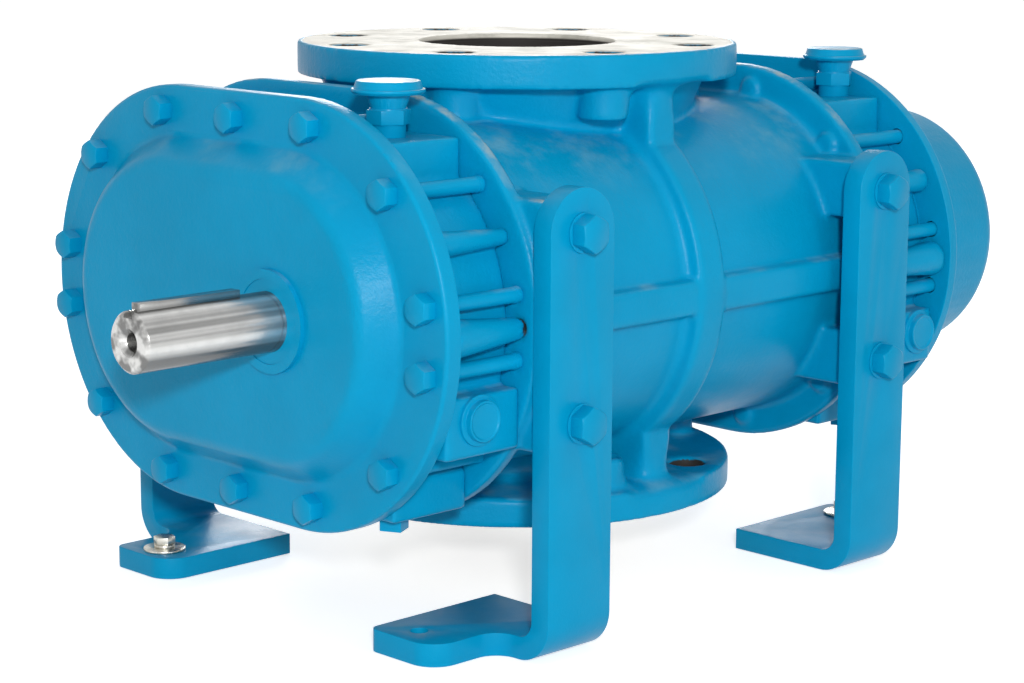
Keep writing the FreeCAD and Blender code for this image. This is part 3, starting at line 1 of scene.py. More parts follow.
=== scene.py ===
"""Dresses the rotary lobe blower for a studio picture.

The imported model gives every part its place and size. This script softens the castings, rounds the bars,
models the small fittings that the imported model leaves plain, and gives each finish its own material.
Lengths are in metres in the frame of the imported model: +Z up, and the drive shaft points along -Y.
"""
import logging
import math
from dataclasses import dataclass, field
from enum import Enum

import bpy
import numpy as np
from mathutils import Matrix, Vector


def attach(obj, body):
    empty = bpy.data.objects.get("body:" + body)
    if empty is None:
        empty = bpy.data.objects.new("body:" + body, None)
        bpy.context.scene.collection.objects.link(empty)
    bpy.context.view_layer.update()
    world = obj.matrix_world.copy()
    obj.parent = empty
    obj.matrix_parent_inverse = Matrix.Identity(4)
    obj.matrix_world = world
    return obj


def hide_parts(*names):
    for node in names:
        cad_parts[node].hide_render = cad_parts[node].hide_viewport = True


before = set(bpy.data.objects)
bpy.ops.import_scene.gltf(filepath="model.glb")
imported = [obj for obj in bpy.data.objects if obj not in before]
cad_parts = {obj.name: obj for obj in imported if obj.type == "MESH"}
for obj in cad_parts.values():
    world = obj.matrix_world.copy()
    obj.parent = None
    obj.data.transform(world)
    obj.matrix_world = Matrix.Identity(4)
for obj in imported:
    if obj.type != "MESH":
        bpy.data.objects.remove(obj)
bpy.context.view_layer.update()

log = logging.getLogger("blower")
MM = 0.001
Colour = tuple[float, float, float, float]
Place = tuple[float, float, float]
Span = tuple[float, float]

# Millimetres: the plane of the shafts above the floor, the port faces above that plane, and a shaft from the
# middle plane
SHAFT_HEIGHT = 157.0
INLET_FACE = 118.5
OUTLET_FACE = -114.5
HALF_CENTRES = 45.0

# Noise scales of the shared groups, in grains per metre
SAND_SCALE = 420.0
PEEL_SCALE = 900.0
WAVE_SCALE = 26.0
DUST_AND_SHEEN_SCALE = 38.0


class Body(Enum):
    """The rigid bodies that new pieces ride on."""

    HOUSING = "housing"
    DRIVE = "drive_rotor"


def point(x: float, y: float, z: float) -> Vector:
    """Return a place in metres.

    Args:
        x: Distance to the right of the middle plane, in millimetres.
        y: Distance towards the gear end, in millimetres.
        z: Height above the plane of the shafts, in millimetres.

    Returns:
        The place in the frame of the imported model.
    """
    return Vector((x * MM, y * MM, (z + SHAFT_HEIGHT) * MM))


# Node groups that several finishes share
class GroupMaker:
    """Builds a shader node group with named inputs and outputs."""

    def __init__(self, name: str) -> None:
        """Start an empty group."""
        self.tree = bpy.data.node_groups.new(name, "ShaderNodeTree")
        self.source = self.tree.nodes.new("NodeGroupInput")
        self.sink = self.tree.nodes.new("NodeGroupOutput")

    def takes(self, name: str, default: float, kind: str = "NodeSocketFloat") -> None:
        """Add an input socket with its default."""
        socket = self.tree.interface.new_socket(name=name, in_out="INPUT", socket_type=kind)
        if kind == "NodeSocketFloat":
            socket.default_value = default

    def gives(self, name: str, kind: str = "NodeSocketFloat") -> None:
        """Add an output socket."""
        self.tree.interface.new_socket(name=name, in_out="OUTPUT", socket_type=kind)

    def join(self, start: bpy.types.NodeSocket, end: bpy.types.NodeSocket) -> None:
        """Link two sockets."""
        self.tree.links.new(start, end)


def add_node(tree: bpy.types.NodeTree, kind: str, **values: object) -> bpy.types.Node:
    """Add a node to a tree.

    Args:
        tree: The node tree.
        kind: Name of the node type without its ShaderNode start.
        **values: Properties by name, or socket defaults by socket name with underscores for spaces.

    Returns:
        The new node.
    """
    made = tree.nodes.new(f"ShaderNode{kind}")
    for name, value in values.items():
        if hasattr(made, name):
            setattr(made, name, value)
        else:
            made.inputs[name.replace("_", " ")].default_value = value
    return made


def math_node(tree: bpy.types.NodeTree, operation: str, *inputs: object) -> bpy.types.NodeSocket:
    """Add a Math node.

    Args:
        tree: The node tree.
        operation: Blender's name of the operation.
        *inputs: Sockets or numbers that feed it, in order.

    Returns:
        The result.
    """
    made = tree.nodes.new("ShaderNodeMath")
    made.operation = operation
    for socket, value in zip(made.inputs, inputs):
        if isinstance(value, bpy.types.NodeSocket):
            tree.links.new(value, socket)
        else:
            socket.default_value = value
    return made.outputs[0]


def map_range(tree: bpy.types.NodeTree, value: bpy.types.NodeSocket, low: float, high: float,
              to_low: float = 0.0, to_high: float = 1.0) -> bpy.types.NodeSocket:
    """Add a smooth Map Range node.

    Args:
        tree: The node tree.
        value: What is mapped.
        low: The value that gives to_low.
        high: The value that gives to_high, which may be the smaller of the two.
        to_low: Result at low and beyond it.
        to_high: Result at high and beyond it.

    Returns:
        The result.
    """
    made = tree.nodes.new("ShaderNodeMapRange")
    made.interpolation_type = "SMOOTHSTEP"
    tree.links.new(value, made.inputs["Value"])
    for name, number in (("From Min", low), ("From Max", high), ("To Min", to_low), ("To Max", to_high)):
        made.inputs[name].default_value = number
    return made.outputs["Result"]


def ramp(tree: bpy.types.NodeTree, value: bpy.types.NodeSocket, span: Span) -> bpy.types.NodeSocket:
    """Return a mask of a distance that goes from 0 to 1 along a span in millimetres."""
    return map_range(tree, value, span[0] * MM, span[1] * MM)


def length_of(tree: bpy.types.NodeTree, first: bpy.types.NodeSocket,
              second: bpy.types.NodeSocket) -> bpy.types.NodeSocket:
    """Return the distance from the origin to a place with these two coordinates."""
    squares = [math_node(tree, "MULTIPLY", side, side) for side in (first, second)]
    return math_node(tree, "SQRT", math_node(tree, "ADD", *squares))


def noise_at(tree: bpy.types.NodeTree, place: bpy.types.NodeSocket, scale: float, detail: float = 3.0,
             rough: float = 0.5) -> bpy.types.NodeSocket:
    """Add a noise texture.

    Args:
        tree: The node tree.
        place: Coordinates in metres.
        scale: Grains per metre.
        detail: How many finer layers it has.
        rough: How strong the finer layers are.

    Returns:
        Its factor, about 0.5 on average.
    """
    made = tree.nodes.new("ShaderNodeTexNoise")
    tree.links.new(place, made.inputs["Vector"])
    made.inputs["Scale"].default_value = scale
    made.inputs["Detail"].default_value = detail
    made.inputs["Roughness"].default_value = rough
    return made.outputs["Fac"]


def cast_grain_group() -> bpy.types.NodeTree:
    """Build the relief of sprayed paint over sand-cast iron.

    Returns:
        A group that takes the depths of three grains and gives Height, all in metres.
    """
    maker = GroupMaker("cast_grain")
    maker.takes("Vector", 0.0, "NodeSocketVector")
    maker.gives("Height")
    tree, place = maker.tree, maker.source.outputs["Vector"]
    total = None
    for name, depth, grain in (
        ("Sand", 0.00018, (SAND_SCALE, 4.0, 0.62)),
        ("Peel", 0.00005, (PEEL_SCALE, 2.0, 0.5)),
        ("Waves", 0.0006, (WAVE_SCALE, 2.0, 0.5)),
    ):
        maker.takes(name, depth)
        height = math_node(tree, "MULTIPLY", noise_at(tree, place, *grain), maker.source.outputs[name])
        total = height if total is None else math_node(tree, "ADD", total, height)
    maker.join(total, maker.sink.inputs["Height"])
    return tree


def turned_rings_group() -> bpy.types.NodeTree:
    """Build the fine rings that a lathe tool leaves.

    Returns:
        A group that takes Distance, Pitch and Depth and gives Height, all in metres.
    """
    maker = GroupMaker("turned_rings")
    maker.takes("Distance", 0.0)
    maker.takes("Pitch", 0.0006)
    maker.takes("Depth", 0.00001)
    maker.gives("Height")
    tree = maker.tree
    turns = math_node(tree, "DIVIDE", maker.source.outputs["Distance"], maker.source.outputs["Pitch"])
    wave = math_node(tree, "SINE", math_node(tree, "MULTIPLY", turns, math.tau))
    maker.join(math_node(tree, "MULTIPLY", wave, maker.source.outputs["Depth"]), maker.sink.inputs["Height"])
    return tree


def dust_and_sheen_group() -> bpy.types.NodeTree:
    """Build a mask for pale overspray and dust, and for a painted pale reflection, on faces that look up.

    Returns:
        A group that takes Amount and gives Mask, which is strongest on level tops.
    """
    maker = GroupMaker("settled_dust_and_sheen")
    maker.takes("Vector", 0.0, "NodeSocketVector")
    maker.takes("Amount", 0.3)
    maker.gives("Mask")
    tree = maker.tree
    look = add_node(tree, "NewGeometry")
    split = add_node(tree, "SeparateXYZ")
    maker.join(look.outputs["Normal"], split.inputs[0])
    level = map_range(tree, split.outputs["Z"], 0.55, 1.0)
    specks = noise_at(tree, maker.source.outputs["Vector"], DUST_AND_SHEEN_SCALE, 5.0, 0.6)
    patches = map_range(tree, specks, 0.45, 0.75)
    settled = math_node(tree, "MULTIPLY", level, patches)
    mask = math_node(tree, "MULTIPLY", settled, maker.source.outputs["Amount"])
    maker.join(mask, maker.sink.inputs["Mask"])
    return tree


# Finishes
class MaterialMaker:
    """Builds one material round a Principled shader."""

    def __init__(self, name: str) -> None:
        """Start a material with a Principled shader and object coordinates."""
        self.material = bpy.data.materials.new(name)
        self.material.use_nodes = True
        self.tree = self.material.node_tree
        self.shader = self.tree.nodes["Principled BSDF"]
        self.place = add_node(self.tree, "TexCoord").outputs["Object"]

    def set(self, **values: object) -> None:
        """Set constants on the shader's own sockets."""
        for name, value in values.items():
            self.shader.inputs[name.replace("_", " ")].default_value = value

    def feed(self, socket: str, value: bpy.types.NodeSocket) -> None:
        """Link a value into one of the shader's sockets."""
        self.tree.links.new(value, self.shader.inputs[socket])

    def axes(self) -> bpy.types.Node:
        """Return a node with the three object coordinates."""
        split = add_node(self.tree, "SeparateXYZ")
        self.tree.links.new(self.place, split.inputs[0])
        return split

    def stretched(self, scale: Place) -> bpy.types.NodeSocket:
        """Return object coordinates stretched along each axis."""
        made = add_node(self.tree, "Mapping")
        self.tree.links.new(self.place, made.inputs["Vector"])
        made.inputs["Scale"].default_value = scale
        return made.outputs["Vector"]

    def group(self, tree: bpy.types.NodeTree, **values: object) -> bpy.types.Node:
        """Place a shared group with its own values."""
        made = self.tree.nodes.new("ShaderNodeGroup")
        made.node_tree = tree
        for name, value in values.items():
            socket = made.inputs[name]
            if isinstance(value, bpy.types.NodeSocket):
                self.tree.links.new(value, socket)
            else:
                socket.default_value = value
        return made

    def mix(self, factor: object, first: object, second: object) -> bpy.types.NodeSocket:
        """Mix two colours.

        Args:
            factor: Socket or number from 0 for the first colour to 1 for the second.
            first: Colour or socket.
            second: Colour or socket.

        Returns:
            The mixed colour.
        """
        made = self.tree.nodes.new("ShaderNodeMix")
        made.data_type = "RGBA"
        for index, value in ((0, factor), (6, first), (7, second)):
            if isinstance(value, bpy.types.NodeSocket):
                self.tree.links.new(value, made.inputs[index])
            else:
                made.inputs[index].default_value = value
        return made.outputs[2]

    def bump(self, height: bpy.types.NodeSocket) -> None:
        """Turn a height in metres into the shader's normal."""
        made = add_node(self.tree, "Bump", Strength=1.0, Distance=1.0)
        self.tree.links.new(height, made.inputs["Height"])
        self.feed("Normal", made.outputs["Normal"])


def linear(red: int, green: int, blue: int) -> Colour:
    """Return a screen colour of 0 to 255 as a linear colour with alpha."""
    def one(level: int) -> float:
        """Return one channel as a linear value."""
        part = level / 255
        return part / 12.92 if part <= 0.04045 else ((part + 0.055) / 1.055) ** 2.4
    return one(red), one(green), one(blue), 1.0


def darker(colour: Colour, share: float) -> Colour:
    """Return a colour with this share of its light."""
    return tuple(level * share for level in colour[:3]) + (1.0,)


@dataclass(frozen=True)
class PaintFinish:
    """Sprayed blue enamel over a metal part."""

    name: str
    sand: float = 0.0002
    peel: float = 0.00005
    waves: float = 0.00014
    roughness: float = 0.32
    specular: float = 0.11
    # Amount of pale dust and painted pale reflection on faces that look up
    dust_and_sheen: float = 0.4
    cloud_scale: float = 14.0
    patch_scale: float = 60.0
    dull: float = 0.3
    base: Colour = linear(0, 151, 197)
    deep: Colour = linear(0, 144, 188)
    # Colour of the dust and overspray and of the painted pale reflection on the tops
    pale: Colour = linear(150, 186, 190)

    def paint(self, maker: MaterialMaker, groups: "Groups") -> tuple[bpy.types.NodeSocket, ...]:
        """Work out the enamel's colour, roughness and relief.

        Args:
            maker: The material that is being built.
            groups: The shared node groups.

        Returns:
            Sockets for colour, roughness and height.
        """
        tree, place = maker.tree, maker.place
        grain = maker.group(groups.grain, Vector=place, Sand=self.sand, Peel=self.peel, Waves=self.waves)
        clouds = map_range(tree, noise_at(tree, place, self.cloud_scale, 4.0, 0.6), 0.3, 0.7)
        colour = maker.mix(clouds, self.deep, self.base)
        # Pale on faces that look up: settled dust and overspray, and a painted pale reflection on the tops
        dust_and_sheen = maker.group(groups.dust_and_sheen, Vector=place, Amount=self.dust_and_sheen).outputs["Mask"]
        colour = maker.mix(dust_and_sheen, colour, self.pale)
        patchy = map_range(tree, noise_at(tree, place, self.patch_scale, 3.0, 0.6), 0.35, 0.7,
                           self.roughness - 0.02, self.roughness + 0.04)
        rough = math_node(tree, "ADD", patchy, math_node(tree, "MULTIPLY", dust_and_sheen, self.dull))
        return colour, rough, grain.outputs["Height"]

    def build(self, groups: "Groups") -> bpy.types.Material:
        """Build the material."""
        maker = MaterialMaker(self.name)
        colour, rough, height = self.paint(maker, groups)
        maker.feed("Base Color", colour)
        maker.feed("Roughness", rough)
        maker.set(Specular_IOR_Level=self.specular)
        maker.bump(height)
        return maker.material


@dataclass(frozen=True)
class Spot:
    """Sockets that say where a point of the casing lies, in metres.

    Attributes:
        x: Object coordinate across the shafts.
        y: Object coordinate along the shafts.
        z: Height above the floor.
        radius: Distance from the axis of the ports.
        reach: Distance up or down from the middle between the port faces.
    """

    x: bpy.types.NodeSocket
    y: bpy.types.NodeSocket
    z: bpy.types.NodeSocket
    radius: bpy.types.NodeSocket
    reach: bpy.types.NodeSocket


@dataclass(frozen=True)
class CasingFinish(PaintFinish):
    """The casing's enamel, with bare machined port faces and bare iron inside the ports, painted dark as
    their shade.

    Sizes are in millimetres. A span says where a mask starts and where it is full: away from an axis or a
    plane, or, where its name ends in depth, below the port faces.
    """

    mouth: Span = (53.8, 52.8)
    flange_edge: Span = (114.4, 112.6)
    ragged: float = 3.0
    ragged_scale: float = 120.0
    face_depth: Span = (0.9, 0.35)
    lip_depth: Span = (4.0, 3.5)
    iron_and_shade_depth: Span = (1.6, 2.8)
    throat: Span = (55.0, 82.0)
    throat_blend: float = 1.02
    hole_circle: float = 95.25
    hole_step: float = 45.0
    first_hole: float = 27.0
    hole_wall: Span = (10.0, 9.6)
    hole_top_depth: Span = (0.1, 0.8)
    hole_foot_depth: Span = (17.5, 17.0)
    rim: Span = (121.0, 123.0)
    rim_dust: float = 1.5
    chamber_wall: Span = (81.6, 81.0)
    chamber_end: Span = (131.6, 131.0)
    spot_scale: float = 45.0
    bare_rough: float = 0.25
    bare_metal: float = 0.2
    tool_pitch: float = 0.9
    tool_depth: float = 0.012
    machined: Colour = linear(212, 209, 199)
    stain: Colour = linear(182, 180, 170)
    worn: Colour = linear(176, 184, 176)
    # Bare iron, painted near black as the shade inside the ports, flange holes and rotor chamber
    iron_and_shade: Colour = linear(52, 50, 48)

    def spot(self, maker: MaterialMaker) -> Spot:
        """Work out where a point lies."""
        tree = maker.tree
        x, y, z = maker.axes().outputs
        middle = (SHAFT_HEIGHT + (INLET_FACE + OUTLET_FACE) / 2) * MM
        reach = math_node(tree, "ABSOLUTE", math_node(tree, "SUBTRACT", z, middle))
        return Spot(x, y, z, length_of(tree, x, y), reach)

    def at_depth(self, tree: bpy.types.NodeTree, spot: Spot, span: Span) -> bpy.types.NodeSocket:
        """Mask a range of depths below the port faces."""
        half = (INLET_FACE - OUTLET_FACE) / 2
        return ramp(tree, spot.reach, (half - span[0], half - span[1]))

    def holes(self, tree: bpy.types.NodeTree, spot: Spot) -> bpy.types.NodeSocket:
        """Mask the walls of the eight flange holes, folded onto one hole by their angle."""
        angle = math_node(tree, "ARCTAN2", spot.y, spot.x)
        angle = math_node(tree, "SUBTRACT", angle, math.radians(self.first_hole))
        folded = math_node(tree, "PINGPONG", angle, math.radians(self.hole_step) / 2)
        aside = math_node(tree, "MULTIPLY", math_node(tree, "SINE", folded), spot.radius)
        outward = math_node(tree, "MULTIPLY", math_node(tree, "COSINE", folded), spot.radius)
        outward = math_node(tree, "SUBTRACT", outward, self.hole_circle * MM)
        wall = ramp(tree, length_of(tree, aside, outward), self.hole_wall)
        wall = math_node(tree, "MULTIPLY", wall, self.at_depth(tree, spot, self.hole_foot_depth))
        return math_node(tree, "MULTIPLY", wall, self.at_depth(tree, spot, self.hole_top_depth))

    def chamber(self, tree: bpy.types.NodeTree, spot: Spot) -> bpy.types.NodeSocket:
        """Mask the walls of the rotor chamber."""
        up = math_node(tree, "SUBTRACT", spot.z, SHAFT_HEIGHT * MM)
        aside = math_node(tree, "SUBTRACT", math_node(tree, "ABSOLUTE", spot.x), HALF_CENTRES * MM)
        aside = math_node(tree, "MAXIMUM", aside, 0.0)
        near_axis = ramp(tree, length_of(tree, aside, up), self.chamber_wall)
        between_ends = ramp(tree, math_node(tree, "ABSOLUTE", spot.y), self.chamber_end)
        return math_node(tree, "MULTIPLY", near_axis, between_ends)

    def bare_iron_and_shade(self, tree: bpy.types.NodeTree, spot: Spot) -> bpy.types.NodeSocket:
        """Mask the bare iron in the ports, the flange holes and the rotor chamber, painted near black as
        their shade.
        """
        oval = length_of(tree, math_node(tree, "DIVIDE", spot.x, self.throat[0] * MM),
                         math_node(tree, "DIVIDE", spot.y, self.throat[1] * MM))
        port = math_node(tree, "MAXIMUM", ramp(tree, spot.radius, self.mouth),
                         map_range(tree, oval, self.throat_blend, 1.0))
        port = math_node(tree, "MULTIPLY", port, self.at_depth(tree, spot, self.iron_and_shade_depth))
        bare = math_node(tree, "MAXIMUM", port, self.holes(tree, spot))
        return math_node(tree, "MAXIMUM", bare, self.chamber(tree, spot))

    def bare_face(self, maker: MaterialMaker, spot: Spot) -> bpy.types.NodeSocket:
        """Mask the machined port faces, with a ragged edge of paint, and the lips of the bores."""
        tree = maker.tree
        waver = noise_at(tree, maker.place, self.ragged_scale, 4.0)
        waver = math_node(tree, "MULTIPLY", waver, self.ragged * MM)
        within_edge = ramp(tree, math_node(tree, "ADD", spot.radius, waver), self.flange_edge)
        face = math_node(tree, "MULTIPLY", self.at_depth(tree, spot, self.face_depth), within_edge)
        lip = math_node(tree, "MULTIPLY", self.at_depth(tree, spot, self.lip_depth),
                        ramp(tree, spot.radius, self.mouth))
        return math_node(tree, "MAXIMUM", face, lip)

    def build(self, groups: "Groups") -> bpy.types.Material:
        """Build the material."""
        maker = MaterialMaker(self.name)
        tree = maker.tree
        colour, rough, height = self.paint(maker, groups)
        spot = self.spot(maker)
        dusty = maker.group(groups.dust_and_sheen, Vector=maker.place, Amount=self.rim_dust)
        rim = ramp(tree, math_node(tree, "ABSOLUTE", spot.y), self.rim)
        colour = maker.mix(math_node(tree, "MULTIPLY", rim, dusty.outputs["Mask"]), colour, self.worn)
        face = self.bare_face(maker, spot)
        spots = map_range(tree, noise_at(tree, maker.place, self.spot_scale, 5.0, 0.65), 0.42, 0.68)
        colour = maker.mix(face, colour, maker.mix(spots, self.machined, self.stain))
        # Painted shade: near-black bare iron inside the ports, flange holes and rotor chamber
        iron_and_shade = self.bare_iron_and_shade(tree, spot)
        maker.feed("Base Color", maker.mix(iron_and_shade, colour, self.iron_and_shade))
        bare = math_node(tree, "MAXIMUM", face, iron_and_shade)
        rough = math_node(tree, "ADD", rough, math_node(tree, "MULTIPLY", bare, self.bare_rough))
        maker.feed("Roughness", rough)
        maker.feed("Metallic", math_node(tree, "MULTIPLY", face, self.bare_metal))
        rings = maker.group(groups.rings, Distance=spot.radius, Pitch=self.tool_pitch * MM,
                            Depth=self.tool_depth * MM)
        cut = math_node(tree, "MULTIPLY", rings.outputs["Height"], face)
        sprayed = math_node(tree, "MULTIPLY", height, math_node(tree, "SUBTRACT", 1.0, face))
        maker.set(Specular_IOR_Level=self.specular)
        maker.bump(math_node(tree, "ADD", cut, sprayed))
        return maker.material


@dataclass(frozen=True)
class SteelFinish:
    """Turned or ground steel, with painted reflections as dark streaks along its length."""

    name: str
    colour: Colour = linear(216, 216, 214)
    roughness: float = 0.17
    pitch: float = 0.00035
    depth: float = 0.0000006
    spread: float = 0.03
    # Strength, stretch and darkness of the painted reflection streaks along the length
    reflection_streaks: float = 0.9
    metallic: float = 0.85
    wear_scale: float = 90.0
    worn_share: float = 0.86
    reflection_streak_scale: Place = (135.0, 0.8, 135.0)
    reflection_streak_share: float = 0.2
    band_scale: Place = (60.0, 2400.0, 60.0)

    def build(self, groups: "Groups") -> bpy.types.Material:
        """Build the material."""
        maker = MaterialMaker(self.name)
        tree = maker.tree
        along = maker.axes().outputs["Y"]
        rings = maker.group(groups.rings, Distance=along, Pitch=self.pitch, Depth=self.depth)
        wear = noise_at(tree, maker.place, self.wear_scale, 5.0, 0.65)
        worn = maker.mix(map_range(tree, wear, 0.35, 0.75), self.colour, darker(self.colour, self.worn_share))
        # Painted reflection: dark streaks along the length of the steel
        reflection_lines = noise_at(tree, maker.stretched(self.reflection_streak_scale), 1.0, 2.0, 0.5)
        reflection_streak = math_node(tree, "MULTIPLY", map_range(tree, reflection_lines, 0.4, 0.62), self.reflection_streaks)
        maker.feed("Base Color", maker.mix(reflection_streak, worn, darker(self.colour, self.reflection_streak_share)))
        bands = noise_at(tree, maker.stretched(self.band_scale), 1.0, 3.0, 0.6)
        rough = math_node(tree, "ADD", math_node(tree, "MULTIPLY", bands, self.spread), self.roughness)
        maker.feed("Roughness", rough)
        maker.set(Metallic=self.metallic)
        maker.bump(rings.outputs["Height"])
        return maker.material


@dataclass(frozen=True)
class PlainFinish:
    """A finish with a fine grain and no rings: iron, rubber and zinc."""

    name: str
    colour: Colour
    second: Colour
    roughness: float = 0.5
    metallic: float = 0.0
    grain: float = 0.00005
    patch_scale: float = 80.0
    worn_scale: float = 140.0

    def build(self, groups: "Groups") -> bpy.types.Material:
        """Build the material."""
        maker = MaterialMaker(self.name)
        tree = maker.tree
        patches = map_range(tree, noise_at(tree, maker.place, self.patch_scale, 5.0, 0.65), 0.35, 0.7)
        maker.feed("Base Color", maker.mix(patches, self.colour, self.second))
        worn = noise_at(tree, maker.place, self.worn_scale)
        rough = map_range(tree, worn, 0.3, 0.7, self.roughness - 0.06, self.roughness + 0.08)
        maker.feed("Roughness", rough)
        maker.set(Metallic=self.metallic)
        relief = maker.group(groups.grain, Vector=maker.place, Sand=self.grain, Peel=0.0, Waves=0.0)
        maker.bump(relief.outputs["Height"])
        return maker.material


@dataclass
class Groups:
    """The node groups that the finishes share."""

    grain: bpy.types.NodeTree = field(default_factory=cast_grain_group)
    rings: bpy.types.NodeTree = field(default_factory=turned_rings_group)
    # Mask of dust and of a painted pale reflection on faces that look up
    dust_and_sheen: bpy.types.NodeTree = field(default_factory=dust_and_sheen_group)


class Finish(Enum):
    """The finishes of the blower."""

    CASING = CasingFinish("casing_enamel")
    CAST = PaintFinish("cast_enamel")
    BAR = PaintFinish("bar_enamel", sand=0.00004, peel=0.00007, waves=0.0003, dust_and_sheen=0.2)
    SMALL = PaintFinish("fitting_enamel", sand=0.00003, peel=0.00005, waves=0.0001, dust_and_sheen=0.3)
    SHAFT = SteelFinish("bright_shaft_steel")
    GROUND = SteelFinish("ground_steel", colour=linear(168, 167, 164), roughness=0.32)
    IRON = PlainFinish("rotor_iron", linear(92, 90, 88), linear(70, 66, 62), 0.55, 0.6, 0.0001)
    # Cap tops paler: settled dust and a painted pale reflection on the tops
    CAP = PaintFinish("cap_enamel", sand=0.00003, peel=0.00005, waves=0.0001, dust_and_sheen=1.0,
                      pale=linear(176, 186, 180))
    RUBBER = PlainFinish("black_rubber", linear(26, 26, 26), linear(38, 37, 36), 0.6)
    ZINC = PlainFinish("zinc_plate", linear(214, 212, 204), linear(178, 172, 156), 0.3, 1.0, 0.00002)


class Palette:
    """Builds each finish once and hands it out."""

    def __init__(self) -> None:
        """Build the shared groups."""
        self.groups = Groups()
        self.made: dict[Finish, bpy.types.Material] = {}

    def of(self, finish: Finish) -> bpy.types.Material:
        """Return the material of a finish."""
        if finish not in self.made:
            self.made[finish] = finish.value.build(self.groups)
        return self.made[finish]

    def dress(self, piece: bpy.types.Object, finish: Finish) -> None:
        """Give a piece one finish all over."""
        piece.data.materials.clear()
        piece.data.materials.append(self.of(finish))


# Modelling helpers
def nothing_selected() -> None:
    """Leave edit mode and deselect every object."""
    if bpy.context.object and bpy.context.object.mode != "OBJECT":
        bpy.ops.object.mode_set(mode="OBJECT")
    bpy.ops.object.select_all(action="DESELECT")


def only(piece: bpy.types.Object) -> bpy.types.Object:
    """Select one piece alone and make it active."""
    nothing_selected()
    piece.select_set(True)
    bpy.context.view_layer.objects.active = piece
    return piece


def triangles(piece: bpy.types.Object) -> int:
    """Return how many triangles a piece's mesh has."""
    piece.data.calc_loop_triangles()
    return len(piece.data.loop_triangles)


def merged_copy(node: str, name: str, merge: float = 0.00001) -> bpy.types.Object:
    """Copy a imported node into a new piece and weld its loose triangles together.

    Args:
        node: The node's name.
        name: The new piece's name.
        merge: How near two corners are when they are one, in metres.

    Returns:
        The new piece.
    """
    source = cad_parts[node]
    piece = bpy.data.objects.new(name, source.data.copy())
    bpy.context.scene.collection.objects.link(piece)
    only(piece)
    bpy.ops.object.mode_set(mode="EDIT")
    bpy.ops.mesh.select_all(action="SELECT")
    bpy.ops.mesh.remove_doubles(threshold=merge)
    bpy.ops.mesh.customdata_custom_splitnormals_clear()
    bpy.ops.object.mode_set(mode="OBJECT")
    return piece


def joined(pieces: list[bpy.types.Object]) -> bpy.types.Object:
    """Join pieces into the first of them and return it."""
    only(pieces[0])
    for piece in pieces[1:]:
        piece.select_set(True)
    bpy.ops.object.join()
    return pieces[0]


def turned_cylinder(radius: float, thick: float, middle: Vector, sides: int,
                    turned: Place) -> bpy.types.Object:
    """Add a cylinder that is turned from upright.

    Args:
        radius: In millimetres.
        thick: Height in millimetres.
        middle: Its middle in metres.
        sides: How many sides it has.
        turned: Angles about the three axes, in degrees.

    Returns:
        The cylinder. Its place and turn aren't applied yet.
    """
    bpy.ops.mesh.primitive_cylinder_add(
        vertices=sides, radius=radius * MM, depth=thick * MM, location=middle,
        rotation=tuple(math.radians(angle) for angle in turned))
    return bpy.context.object


def settle() -> None:
    """Apply the place, turn and scale of what is selected."""
    bpy.ops.object.transform_apply(location=True, rotation=True, scale=True)


def apply_modifier(piece: bpy.types.Object, kind: str, **values: object) -> None:
    """Add a modifier and apply it.

    Args:
        piece: The piece.
        kind: Blender's name of the modifier.
        **values: Its settings by name.
    """
    only(piece)
    modifier = piece.modifiers.new(kind.title(), kind)
    for name, value in values.items():
        setattr(modifier, name, value)
    bpy.ops.object.modifier_apply(modifier=modifier.name)


def melt(piece: bpy.types.Object, voxel: float) -> None:
    """Remesh a piece as one skin with this cell size in millimetres."""
    apply_modifier(piece, "REMESH", mode="VOXEL", voxel_size=voxel * MM, use_smooth_shade=True)


def thin_out(piece: bpy.types.Object, budget: int) -> None:
    """Bring a mesh down to this number of triangles."""
    share = budget / triangles(piece)
    if share < 1:
        apply_modifier(piece, "DECIMATE", ratio=share)


def break_edges(piece: bpy.types.Object, edge: float, segments: int, sharp: float) -> None:
    """Bevel a piece's sharp edges.

    Args:
        piece: The piece.
        edge: Width of the bevel in millimetres.
        segments: How many faces round each edge.
        sharp: From what angle an edge is sharp, in degrees.
    """
    apply_modifier(piece, "BEVEL", width=edge * MM, segments=segments, limit_method="ANGLE",
                   angle_limit=math.radians(sharp), use_clamp_overlap=True)


def smooth_by_angle(piece: bpy.types.Object, degrees: float = 35.0) -> None:
    """Shade a piece smooth except across sharp edges."""
    only(piece)
    bpy.ops.object.shade_smooth_by_angle(angle=math.radians(degrees))


def stands_for(piece: bpy.types.Object, node: str, body: Body) -> None:
    """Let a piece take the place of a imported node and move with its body."""
    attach(piece, body.value)
    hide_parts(node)


def coordinates(piece: bpy.types.Object) -> np.ndarray:
    """Return a mesh's corners in millimetres, with the height above the plane of the shafts."""
    places = np.zeros(len(piece.data.vertices) * 3)
    piece.data.vertices.foreach_get("co", places)
    places = places.reshape(-1, 3) / MM
    places[:, 2] -= SHAFT_HEIGHT
    return places


def weigh(piece: bpy.types.Object, name: str, weights: np.ndarray, steps: int = 12) -> None:
    """Store weights as a vertex group.

    Args:
        piece: The piece.
        name: The group's name.
        weights: One number from 0 to 1 for each corner.
        steps: How finely they are rounded.
    """
    group = piece.vertex_groups.new(name=name)
    levels = np.rint(np.clip(weights, 0, 1) * steps).astype(int)
    for level in range(1, steps + 1):
        members = np.nonzero(levels == level)[0].tolist()
        if members:
            group.add(members, level / steps, "REPLACE")


def near(distance: np.ndarray, reach: float, full: float = 0.3) -> np.ndarray:
    """Return 1 within this share of a reach from a surface, falling to 0 a whole reach further out."""
    return np.clip(1 + full - np.abs(distance) / reach, 0, 1)


